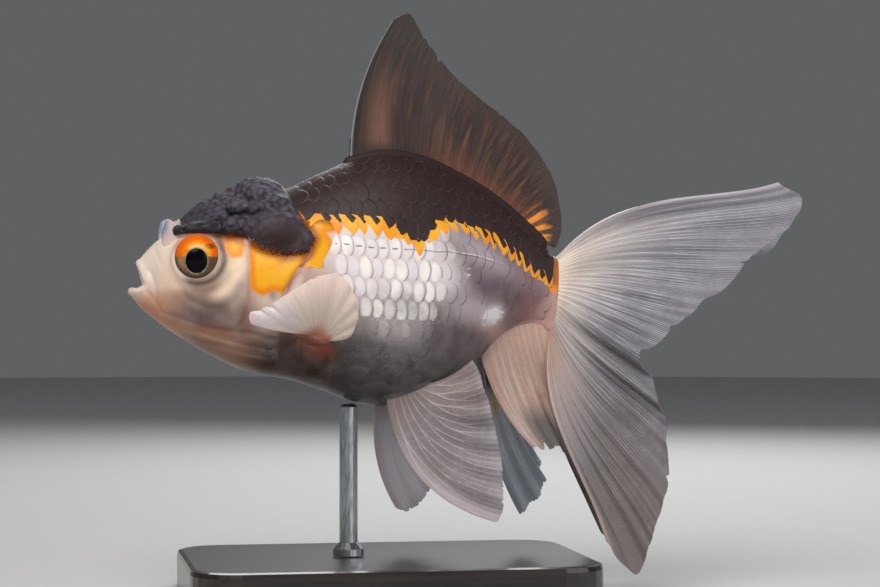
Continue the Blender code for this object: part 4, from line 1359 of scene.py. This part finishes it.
# The right half of the tail trails a little: its upper lobe hangs lower, its lower lobe
# is swept further back, and it stands out less.
CAUDAL_SWING = (-7.0, 8.0)
CAUDAL_SHRINK = 0.04
CAUDAL_FLARE = 0.75
PELVIC_LEFT = {
    "leading": (-49, 35.0, -5.9, 14.0),
    "tip": (-47, 32.8, -5.5, 14.5),
    "hem": (-40, 26.8, -4.6, 14.5),
    "rear_hem": (-25, 19.0, -3.0, 14.0),
    "inner": (-1, 13.5, -1.8, 13.0),
    "innermost": (31, 11.0, -0.6, 11.5),
}
PELVIC_RIGHT = {
    "leading": (-78, 26.1, -2.4, 12.0),
    "tip": (-75, 27.2, -2.3, 13.0),
    "hem": (-67, 23.7, -2.8, 14.0),
    "rear_hem": (-53, 20.0, -3.4, 14.0),
    "inner": (-24, 15.7, -3.2, 12.5),
}
ANAL_LEFT = {
    "leading": (-63, 22.6, -1.6, 8.5),
    "hem": (-68, 26.6, -1.6, 8.0),
    "mid": (-70, 27.7, -1.3, 7.5),
    "tip": (-73, 30.4, -0.9, 6.5),
    "inner": (-80, 24.0, -0.4, 5.0),
}
ANAL_RIGHT = {
    "leading": (-72, 38.1, -2.1, 11.0),
    "hem": (-66, 36.5, -2.1, 11.5),
    "mid": (-68, 32.8, -1.8, 11.5),
    "rear_hem": (-76, 24.1, -0.6, 10.5),
    "inner": (-88, 16.6, 0.0, 8.5),
}
PECTORAL = {
    "leading": (171, 12.6, 0.6, 22.5),
    "tip": (162, 13.9, 0.6, 23.5),
    "notch": (150, 11.6, 0.4, 24.0),
    "shoulder": (131, 10.8, 0.2, 25.0),
    "crown": (110, 11.4, 0.0, 25.5),
    "top": (91, 12.8, 0.0, 25.5),
    "mid": (75, 13.2, 0.0, 25.0),
    "rear": (56, 10.6, 0.0, 23.5),
    "hem": (32, 7.3, 0.0, 21.5),
    "inner": (2, 4.0, 0.0, 19.5),
}
CAUDAL_SKEW = 1.8
RIM_ANGLE = 55  # degrees between faces above which a sheet's edge is drawn sharp
FAN_STEPS = 700  # places at which the spread of a fan is measured


def caudal_root(side):
    def root(k):
        point = body(np.full_like(k, LAST_STATION), math.pi * (0.04 + 0.92 * k))
        point[:, 0] -= 0.6
        point[:, 1] = side * CAUDAL_ROOT_Y
        return point

    return root


def trailing(rays):
    """The rays of the tail's right half, from those of its left."""
    t = np.linspace(0, 1, len(rays))
    turn, length, bend, flare = np.array(list(rays.values())).T
    turn = turn + CAUDAL_SWING[0] + (CAUDAL_SWING[1] - CAUDAL_SWING[0]) * t
    rows = np.stack([turn, length * (1 - CAUDAL_SHRINK * t), bend, flare * CAUDAL_FLARE], axis=1)
    return dict(zip(rays, rows))


class Sheet:
    """A thin curved sheet, given as a grid of points."""

    def __init__(self, grid, side):
        self.grid = grid
        self.side = side
        self.w = np.linspace(0, 1, grid.shape[0])[:, None]
        self.v = np.linspace(0, 1, grid.shape[1])[None]

    def normals(self):
        normal = np.cross(np.gradient(self.grid, axis=1), np.gradient(self.grid, axis=0))
        normal /= np.linalg.norm(normal, axis=-1, keepdims=True) + 1e-12
        return normal * np.sign(normal[..., 1].mean() * self.side or 1)

    def wave(self, amount):
        """Moves the sheet along its normals, by an amount for each grid point."""
        self.grid = self.grid + self.normals() * amount[..., None]

    def frayed(self, amount):
        """Pulls the free edge in by an amount of length for each column."""
        base = self.grid[:, :1]
        self.grid = base + (self.grid - base) * (1 - amount * self.v**6)[..., None]

    def solid(self, name, half, attributes, colours):
        """Closed mesh of the sheet with the given half-thickness at each grid point."""
        columns, rows = self.grid.shape[:2]
        normal = self.normals()
        depth = normal * half[..., None]
        points = np.stack([self.grid + depth, self.grid - depth]).reshape(-1, 3)
        front = np.roll(grid_quads(columns, rows)[:, ::-1], 1, axis=1)
        shift = columns * rows
        index = np.arange(shift).reshape(columns, rows)
        edge = np.concatenate([index[0, :-1], index[:-1, -1], index[-1, :0:-1], index[:0:-1, 0]])
        after = np.roll(edge, -1)
        rim = np.stack([edge, after, after + shift, edge + shift], axis=1)
        faces = np.concatenate([front, front[:, ::-1] + shift, rim[:, ::-1]])
        a, b, c = points[front[0, :3]]
        if np.cross(b - a, c - a) @ normal.reshape(-1, 3)[front[0, 0]] < 0:
            faces = faces[:, ::-1]

        def both(found, *size):
            """Values for the points of the two faces."""
            shape = (2, columns, rows, *size)
            return {key: np.broadcast_to(value, shape).reshape(-1, *size) for key, value in found.items()}

        piece = mesh_piece(name, points, faces, both(attributes), both(colours, 3))
        piece.data.set_sharp_from_angle(angle=math.radians(RIM_ANGLE))
        flat = np.stack(np.broadcast_arrays(0.01 + 0.47 * self.w, 0.01 + 0.98 * self.v), axis=-1)
        bake_map(piece, np.stack([flat, flat + (0.50, 0.0)]).reshape(-1, 2))
        return piece


class Fan(Sheet):
    """A fin's sheet: points by place across the rays and place along them."""

    def __init__(self, rays, root, side, columns, rows, cupped=False, skew=1.0):
        self.data = np.array(list(rays.values()), float)
        self.root = root
        self.side = side
        self.cupped = cupped
        self.skew = skew
        fine = np.linspace(0, 1, FAN_STEPS)
        ends = self.points(fine, np.array([0.45, 1.0]))
        way = np.insert(np.cumsum(distances(ends, 0).mean(axis=1)), 0, 0)
        places = np.interp(np.linspace(0, 1, columns), way / way[-1], fine)
        super().__init__(self.points(places, np.linspace(0, 1, rows)), side)

    def points(self, u, v):
        """Points of the plain sheet at places 0..1 across and along the rays."""
        turn, length, bend, flare = curve(self.data, u * (len(self.data) - 1)).T[..., None]
        turn = np.radians(turn)
        x, y, z = self.root(u).T[..., None]
        peak = 1 / (1 + self.skew)
        bow = bend * v * (1 - v) ** self.skew / (peak * (1 - peak) ** self.skew)
        x = x + length * v * np.cos(turn) - bow * np.sin(turn)
        z = z + length * v * np.sin(turn) + bow * np.cos(turn)
        y = y + (self.side * flare - y) * (v * (2 - v) if self.cupped else v)
        return np.stack([x, y, z], axis=-1)


def branches(across, along, count, forks):
    """Distance, in ray spacings, to the nearest branch of a fin ray."""
    x = across * count
    which = np.floor(x)
    wobble = RAY_JITTER * np.sin(which * RAY_TURN)
    place = np.abs(x - which - 0.5)
    for level, fork in enumerate(forks):
        opening = 0.25 / 2**level * smooth(fork + wobble, fork + wobble + FORK_LENGTH, along)
        place = np.abs(place - opening)
    return place


def grain(rng, w, v, cells_w, cells_v):
    """Smooth random values in 0..1 over a fin, stretched by the two cell counts."""
    table = rng.random((cells_w + 2, cells_v + 2))
    return table_value(table, w * cells_w, v * cells_v, eased=True)


def tinted(base, *layers):
    """Linear colours over a fin: a base, with (weight, colour) layers laid over it."""
    found = linear(base)
    for weight, colour in layers:
        found = tint(found, weight, colour)
    return found


class Ribs:
    """How a fin's rays branch, how thick its sheet is, and the material of the fin."""

    def __init__(self, name, count, forks, thick, relief, lines, strength, joints):
        self.count = count
        self.forks = forks
        self.thick = thick
        self.relief = relief
        self.shade = fin_shade(name, forks, lines, strength, joints)


def finish_fin(fan, name, ribs, ground, vein, cover, jointed=0.0, drawn=1.0):
    """Gives a fan its ribs and colours, and puts it in the place of the solid of that name."""
    gap = np.linalg.norm(np.gradient(fan.grid, axis=0), axis=-1)
    pitch = gap * (len(fan.w) - 1) / ribs.count
    away = branches(fan.w, fan.v, ribs.count, ribs.forks) * pitch
    root, hem = ribs.thick
    half = (root + (hem - root) * np.sqrt(fan.v)) / 2
    half = half + ribs.relief * bump(away, 0, 0.26) * (1 - 0.65 * fan.v) * smooth(0.0, 0.12, fan.v)
    values = {
        "across": fan.w * ribs.count,
        "along": fan.v,
        "pitch": pitch,
        "reach": np.linalg.norm(fan.grid - fan.grid[:, :1], axis=-1),
        "cover": cover,
        "jointed": jointed,
        "drawn": drawn,
    }
    piece = fan.solid(name + "_sheet", half, values, {"ground": ground, "vein": vein})
    dress(piece, ribs.shade, "dorsal_fin" if name == "dorsal_fin" else "fin", name)


def hem_teeth(fan, rng, ribs, depth, tears):
    """Loss of length for each column: teeth between the ray tips, and a few tears."""
    tips = branches(fan.w, 1.0, ribs.count, ribs.forks)
    loss = depth * 0.5 * smooth(0.02, 0.10, tips)
    loss = loss + depth * (grain(rng, fan.w, 0 * fan.w, 46, 1) - 0.5)
    for place, width, cut in tears:
        loss = loss + cut * smooth(1.0, 0.1, np.abs(fan.w - place) / width)
    return loss


def make_dorsal(rng, ribs):
    fan = Fan(DORSAL, root_on_body(DORSAL_ROOT, RIGHT, 0.0), LEFT, 260, 80)
    w = fan.w
    v = fan.v
    fan.wave(0.55 * v * np.sin(9 * w + 2.2 * v) + 0.22 * v**2 * np.sin(31 * w + 1.0))
    tears = ((0.245, 0.012, 0.035), (0.16, 0.01, 0.012), (0.52, 0.008, 0.012), (0.66, 0.01, 0.01))
    fan.frayed(hem_teeth(fan, rng, ribs, 0.012, tears))
    streak = grain(rng, w, v, 64, 5)
    fleck = grain(rng, w, v, 130, 24)
    drawn = smooth(0.40, 0.74, grain(rng, w, v, 150, 4))
    rust = smooth(0.45, 0.85, grain(rng, w, v, 130, 3))
    away = branches(w, v, ribs.count, ribs.forks[:1])
    rays = smooth(0.30, 0.12, away + 0.10 * (fleck - 0.5))
    inner = smooth(0.95, 0.40, v - 0.22 * streak)
    rear = smooth(0.22, 0.42, w)
    amber = smooth(0.80, 0.86, w) * smooth(0.80, 0.45, v + 0.25 * streak) * smooth(0.02, 0.08, v)
    lit = smooth(0.35, 0.55, np.sin(w * 118 + 0.5) * 0.5 + 0.5)
    ground = tinted(
        (63, 47, 40),
        (inner * 0.8 * (1 - 0.3 * rear), (58, 38, 32)),
        (smooth(0.75, 0.50, v) * (1 - rays) * rear * (0.2 + 0.5 * streak), (100, 74, 58)),
        (inner * rust * (0.35 + 0.35 * rear), (116, 68, 42)),
        (smooth(0.40, 0.90, v) * bump(w, 0.13, 0.13) * 0.75, (48, 39, 39)),
        (smooth(0.98, 0.60, v) * drawn * 0.75, (34, 22, 19)),
        (rays * smooth(0.90, 0.42, v + 0.12 * streak) * rear * (0.5 + 0.4 * fleck), (38, 22, 17)),
        (bump(w, 0.085, 0.04) * smooth(0.75, 0.15, v), (120, 82, 68)),
        (smooth(0.55, 0.0, v + 0.20 * streak) * rear * (0.2 + 0.45 * fleck), (140, 68, 24)),
        (smooth(0.05, 0.0, w), (32, 26, 28)),
        (smooth(0.12, 0.0, v) * smooth(0.5, 0.2, w), (44, 34, 34)),
        (amber * lit, (250, 150, 42)),
        # Painted highlight: a thin pale line along the very leading edge.
        (smooth(0.006, 0.001, w), (160, 160, 158)),
    )
    vein = tinted(
        (40, 26, 22),
        (smooth(0.55, 1.0, v), (64, 50, 46)),
        (smooth(0.5, 0.05, v) * smooth(0.2, 0.5, w), (120, 56, 20)),
        (amber, (240, 150, 50)),
    )
    finish_fin(fan, "dorsal_fin", ribs, ground, vein, 0.97 - 0.07 * smooth(0.55, 1.0, v))


def make_caudal(side, word, rng, ribs):
    near = side == LEFT
    rays = CAUDAL if near else trailing(CAUDAL)
    fan = Fan(rays, caudal_root(side), side, 430, 110, skew=CAUDAL_SKEW)
    w = fan.w
    v = fan.v
    phase = 0.0 if near else 1.9
    broad = 1.5 * v**1.4 * np.sin(15 * w + 1.2 * v + phase)
    pleat = 0.95 * smooth(0.12, 0.75, v) * np.sin(74 * w + 1.5 * v + phase)
    pleat = pleat * (0.18 + 0.95 * bump(w, 0.56, 0.13) + 0.5 * bump(w, 0.33, 0.06))
    fine = 0.22 * smooth(0.1, 0.6, v) * np.sin(150 * w + 2 * np.sin(30 * w))
    fold = 1.4 * bump(w, 0.25, 0.035) * smooth(0.6, 1.0, v) - 2.4 * bump(w, 0.055, 0.05) * bump(v, 0.36, 0.20)
    fan.wave(broad + pleat + fine + fold)
    tears = (
        (0.235, 0.006, 0.03), (0.43, 0.008, 0.02), (0.505, 0.010, 0.03), (0.62, 0.008, 0.02),
        (0.74, 0.008, 0.02),
    )
    fan.frayed(hem_teeth(fan, rng, ribs, 0.011, tears))
    streak = grain(rng, w, v, 90, 6)
    lower = smooth(0.62, 0.80, w)
    pale = smooth(0.70, 0.50, w)
    ground = tinted(
        (154, 152, 160),
        (smooth(0.30, 0.75, v) * bump(w, 0.16, 0.16), (136, 134, 142)),
        (bump(w, 0.52, 0.20) * smooth(0.25, 0.8, v), (108, 110, 118)),
        (bump(w, 0.72, 0.12) * smooth(0.2, 0.6, v) * 0.7, (92, 86, 86)),
        (lower * smooth(0.25, 0.75, v), (98, 89, 88)),
        (streak * 0.30, (112, 110, 120)),
        (smooth(0.60, 0.0, v) * (1 - lower) * (0.45 + 0.40 * pale), (200, 184, 174)),
        (smooth(0.14, 0.0, v) * pale, (240, 218, 198)),
        (smooth(0.55, 0.0, v) * lower, (164, 130, 112)),
        (smooth(0.05, 0.0, w) * 0.6, (196, 188, 194)),
        (smooth(0.95, 0.99, w) * 0.6, (190, 166, 162)),
    )
    vein = tinted(
        (206, 202, 210),
        (bump(w, 0.60, 0.14) * smooth(0.0, 0.4, v), (182, 176, 180)),
        (lower * smooth(0.0, 0.5, v), (152, 137, 132)),
        (smooth(0.35, 0.0, v) * (1 - lower), (222, 202, 186)),
        (smooth(0.35, 0.0, v) * pale, (246, 230, 214)),
        (smooth(0.5, 0.0, v) * lower, (196, 168, 150)),
    )
    cover = 0.80 + 0.19 * smooth(0.6, 0.0, v) + 0.1 * lower + 0.12 * smooth(0.05, 0.0, w)
    jointed = 0.2 + 0.8 * lower * smooth(0.08, 0.25, v)
    finish_fin(fan, "caudal_fin_" + word, ribs, ground, vein, np.minimum(cover, 0.99), jointed)


def make_pelvic(side, word, rng, ribs):
    near = side == LEFT
    rays = PELVIC_LEFT if near else PELVIC_RIGHT
    fan = Fan(rays, root_on_body(PELVIC_ROOT, side, 0.2), side, 200, 90)
    w = fan.w
    v = fan.v
    fan.wave(0.9 * v**1.5 * np.sin(8 * w + 0.8) + 0.35 * smooth(0.3, 1, v) * np.sin(38 * w + 2 * v))
    tears = ((0.14, 0.012, 0.03), (0.22, 0.01, 0.018), (0.31, 0.01, 0.015), (0.62, 0.02, 0.02))
    fan.frayed(hem_teeth(fan, rng, ribs, 0.012, tears))
    # The far fin's ground is far lighter than the near one's: painted light, making up for the shade the near
    # fin casts on it.
    ground = tinted(
        (138, 127, 129) if near else (224, 220, 226),
        (grain(rng, w, v, 40, 5) * 0.3, (126, 118, 122) if near else (158, 160, 172)),
        (smooth(0.30, 0.0, v) * 0.8, (130, 112, 108)),
        (smooth(0.60, 0.85, w) * 0.6, (158, 138, 134)),
        (smooth(0.16, 0.0, w) * smooth(0.1, 0.5, v), (196, 182, 188)),
        (smooth(0.88, 1.0, v) * 0.4, (176, 178, 190)),
    )
    vein = tinted((214, 202, 204), (smooth(0.25, 0.0, v), (172, 156, 152)))
    finish_fin(fan, "pelvic_fin_" + word, ribs, ground, vein, 0.80 + 0.17 * smooth(0.45, 0.0, v))


def left_anal(fan, rng, streak):
    """Shape and colours of the near, brown one of the two fins under the tail."""
    w = fan.w
    v = fan.v
    fan.wave(0.8 * v * np.sin(7 * w + 0.5) + 0.4 * smooth(0.3, 1, v) * np.sin(29 * w))
    web = smooth(0.58, 0.80, v - 0.16 * (w - 0.4)) * smooth(0.14, 0.28, w) * smooth(0.90, 0.76, w)
    soft = grain(rng, w, v, 26, 2)
    ground = tinted(
        (168, 140, 127),
        (streak * 0.3, (144, 118, 108)),
        (smooth(0.5, 0.9, soft) * 0.5, (200, 180, 168)),
        (smooth(0.5, 0.1, soft) * 0.4, (196, 142, 116)),
        (web, (116, 110, 106)),
        (smooth(0.22, 0.0, w) * smooth(0.3, 0.9, v), (190, 170, 166)),
        (smooth(0.35, 0.0, v) * 0.7, (206, 166, 150)),
    )
    return ground, tinted((220, 196, 180), (web, (164, 160, 158))), 0.96 - 0.22 * web


def right_anal(fan, rng, streak):
    """Shape and colours of the far, clear one of the two fins under the tail."""
    w = fan.w
    v = fan.v
    fan.wave(0.8 * v * np.sin(6 * w + 2.5) + 0.7 * smooth(0.2, 1, v) * np.sin(44 * w + 3 * v))
    brown = bump(w, 0.18, 0.14) * smooth(0.34, 0.18, v)
    # The ground is partly this fin's own pale colour, partly painted light making up for the shade the near
    # fins cast on it.
    ground = tinted(
        (176, 184, 194),
        (streak * 0.3, (146, 156, 166)),
        (brown * smooth(0.3, 0.55, grain(rng, w, v, 60, 3)), (48, 30, 18)),
        (bump(w, 0.18, 0.12) * bump(v, 0.36, 0.05) * 0.8, (190, 150, 70)),
    )
    return ground, tinted((214, 222, 232), (brown, (120, 84, 50))), 0.80 + 0.15 * brown


def make_anal(side, word, rng, ribs):
    if side == LEFT:
        fan = Fan(ANAL_LEFT, root_on_body(ANAL_ROOT_LEFT, side, 0.0), side, 190, 84)
        looks = left_anal(fan, rng, grain(rng, fan.w, fan.v, 44, 5))
        tears = ((0.24, 0.05, 0.075), (0.80, 0.04, 0.09), (0.5, 0.02, 0.015))
    else:
        fan = Fan(ANAL_RIGHT, root_on_body(ANAL_ROOT_RIGHT, side, 0.0), side, 190, 84)
        looks = right_anal(fan, rng, grain(rng, fan.w, fan.v, 44, 5))
        tears = ((0.30, 0.02, 0.02), (0.72, 0.05, 0.06))
    fan.frayed(hem_teeth(fan, rng, ribs, 0.014, tears))
    finish_fin(fan, "anal_fin_" + word, ribs, *looks)


def make_pectoral(side, word, rng, ribs):
    fan = Fan(PECTORAL, root_on_body(PECTORAL_ROOT, side, 0.6), side, 200, 60, cupped=True)
    w = fan.w
    v = fan.v
    fine = 0.14 * smooth(0.2, 1, v) * np.sin(61 * w) * smooth(0.2, 0.4, w)
    fan.wave(0.6 * v * np.sin(9 * w + 1.0) + fine)
    tears = ((0.10, 0.03, 0.05), (0.17, 0.02, 0.07), (0.45, 0.02, 0.02))
    fan.frayed(hem_teeth(fan, rng, ribs, 0.008, tears))
    tip = smooth(0.34, 0.16, w)
    ground = tinted(
        (252, 228, 214),
        (grain(rng, w, v, 44, 4) * 0.35, (234, 204, 190)),
        (tip * smooth(0.2, 0.7, v), (240, 224, 222)),
        (smooth(0.30, 0.05, v), (206, 130, 106)),
        (smooth(0.4, 0.1, v) * smooth(0.75, 0.95, w), (176, 70, 52)),
    )
    vein = tinted(
        (250, 232, 224),
        (smooth(0.3, 0.0, v), (206, 130, 110)),
        (tip * smooth(0.1, 0.5, v), (244, 232, 236)),
    )
    cover = np.minimum(0.88 + 0.10 * tip + 0.10 * smooth(0.4, 0.0, v), 0.98)
    finish_fin(fan, "pectoral_fin_" + word, ribs, ground, vein, cover, drawn=1 - 0.8 * tip)


FLAP_ROOT = (5.75, 31)  # station, and degrees from the back
FLAP_HEIGHT = 5.2
FLAP_TOP = (
    (-1.0, 0.62), (-0.8, 0.90), (-0.45, 1.0), (0.0, 0.93), (0.3, 0.82), (0.6, 0.90), (0.85, 0.99),
    (1.0, 0.86),
)


def make_flap(side, word, shade):
    """Petal of skin with two lobes, which stands behind the nostril."""
    u = np.linspace(-1, 1, 61)[:, None]
    v = np.linspace(0, 1, 36)[None]
    foot = body_out(FLAP_ROOT[0], side * FLAP_ROOT[1], -0.4)
    wide = 1.45 + 0.62 * np.sin(math.pi * v * 0.72) * (1 - 0.35 * smooth(-0.2, 1.0, u))
    x = foot[0] - 0.1 + u * wide
    y = foot[1] + side * (0.2 + 0.7 * v * u**2 - 0.35 * v + 0.25 * v**3)
    z = foot[2] + FLAP_HEIGHT * line_at(u, FLAP_TOP) * v + 0.8 * wide * np.minimum(u, 0) * (1 - v)
    lobe = smooth(-0.1, -0.7, u) * smooth(0.25, 0.8, v)
    ground = tinted((222, 204, 196), (lobe, (150, 162, 186)), (smooth(0.9, 1.0, v) * 0.5, (226, 228, 236)))
    values = dict.fromkeys(("across", "along", "pitch", "reach", "jointed", "drawn"), 0.0)
    values["cover"] = 0.95 - 0.2 * lobe
    flap = Sheet(np.stack([x, y, z], axis=-1), side)
    half = (0.62 - 0.38 * np.sqrt(v)) / 2
    piece = flap.solid("flap_" + word, half, values, {"ground": ground, "vein": ground})
    dress(piece, shade, "skin", "nostril_flap_" + word)


def make_fins(rng):
    # Name, number of rays, places where they fork, thickness at root and hem, relief, drawn
    # widths at root and tip, strength of the drawn rays, and of their joints.
    back = Ribs("fin_back", 18, (0.42, 0.68), (1.4, 0.22), 0.03, (0.24, 0.12), 0.4, 0.2)
    tail = Ribs("fin_tail", 32, (0.12, 0.36, 0.62), (1.7, 0.2), 0.045, (0.22, 0.11), 0.7, 0.45)
    belly = Ribs("fin_belly", 8, (0.18, 0.50, 0.80), (1.5, 0.2), 0.05, (0.26, 0.12), 0.45, 0.3)
    vent = Ribs("fin_vent", 11, (0.30, 0.58), (1.4, 0.2), 0.035, (0.24, 0.12), 0.25, 0.5)
    breast = Ribs("fin_breast", 13, (0.40, 0.68), (1.5, 0.2), 0.03, (0.16, 0.09), 0.4, 0.2)
    make_dorsal(rng, back)
    for side, word in SIDES:
        make_caudal(side, word, rng, tail)
        make_pelvic(side, word, rng, belly)
        make_anal(side, word, rng, vent)
        make_pectoral(side, word, rng, breast)
        make_flap(side, word, breast.shade)


# Stage, light and camera --------------------------------------------------------------


def make_floor():
    bpy.ops.mesh.primitive_circle_add(vertices=96, radius=1.4, fill_type="NGON")
    floor = bpy.context.object
    floor.name = "floor"
    floor.data.materials.append(Shade("floor").finish(Base_Color=(188, 188, 188), Roughness=0.8))


def area_light(name, place, size, power, colour, target=(0.0, 0.0, 65.0)):
    data = bpy.data.lights.new(name, "AREA")
    data.shape = "DISK"
    data.size = size * MM
    data.energy = power
    data.color = colour
    lamp = bpy.data.objects.new(name, data)
    bpy.context.scene.collection.objects.link(lamp)
    lamp.location = Vector(place) * MM
    lamp.rotation_euler = (Vector(target) - Vector(place)).to_track_quat("-Z", "Y").to_euler()


def make_lights():
    area_light("key", (-200, -380, 520), 520, 3.5, (1.0, 0.97, 0.93))
    area_light("fill", (420, -420, 180), 600, 1.25, (0.93, 0.96, 1.0))
    area_light("back", (160, 420, 380), 500, 2.3, (1.0, 1.0, 1.0))
    scene = bpy.context.scene
    scene.view_settings.view_transform = "Standard"
    scene.world = scene.world or bpy.data.worlds.new("world")
    scene.world.use_nodes = True
    back = scene.world.node_tree.nodes["Background"]
    back.inputs["Color"].default_value = (0.115, 0.12, 0.125, 1)
    back.inputs["Strength"].default_value = 1.0


def finish_stand():
    for node, shade in (("stand_base", wood_shade()), ("stand_rod", steel_shade())):
        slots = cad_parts[node].data.materials
        slots.clear()
        slots.append(shade)


def make_camera():
    data = bpy.data.cameras.new("camera")
    data.lens = CAMERA_LENS
    data.sensor_width = SENSOR
    data.clip_start = 0.01
    camera = bpy.data.objects.new("camera", data)
    bpy.context.scene.collection.objects.link(camera)
    yaw = math.radians(CAMERA_YAW)
    back = Vector((-math.sin(yaw), -math.cos(yaw), 0)) * CAMERA_DISTANCE
    camera.location = (Vector(CAMERA_TARGET) + back) * MM
    camera.rotation_euler = (math.pi / 2, 0, -yaw)
    bpy.context.scene.camera = camera


FLESH = ("head", "lower_jaw", "wen", "gill_cover_left", "gill_cover_right", "trunk", "tail_stalk")


def build():
    noise.seed_set(SEED)
    rng = np.random.default_rng(SEED)
    dress(make_skin(rng), skin_shade(), "skin", *FLESH)
    lattice = Lattice()
    scales = scale_shade()
    iris = eye_shade()
    for side, word in SIDES:
        make_scales(side, word, lattice, rng, scales)
        make_eye(side, word, iris)
    make_fins(rng)
    finish_stand()
    make_floor()
    make_lights()
    make_camera()


build()
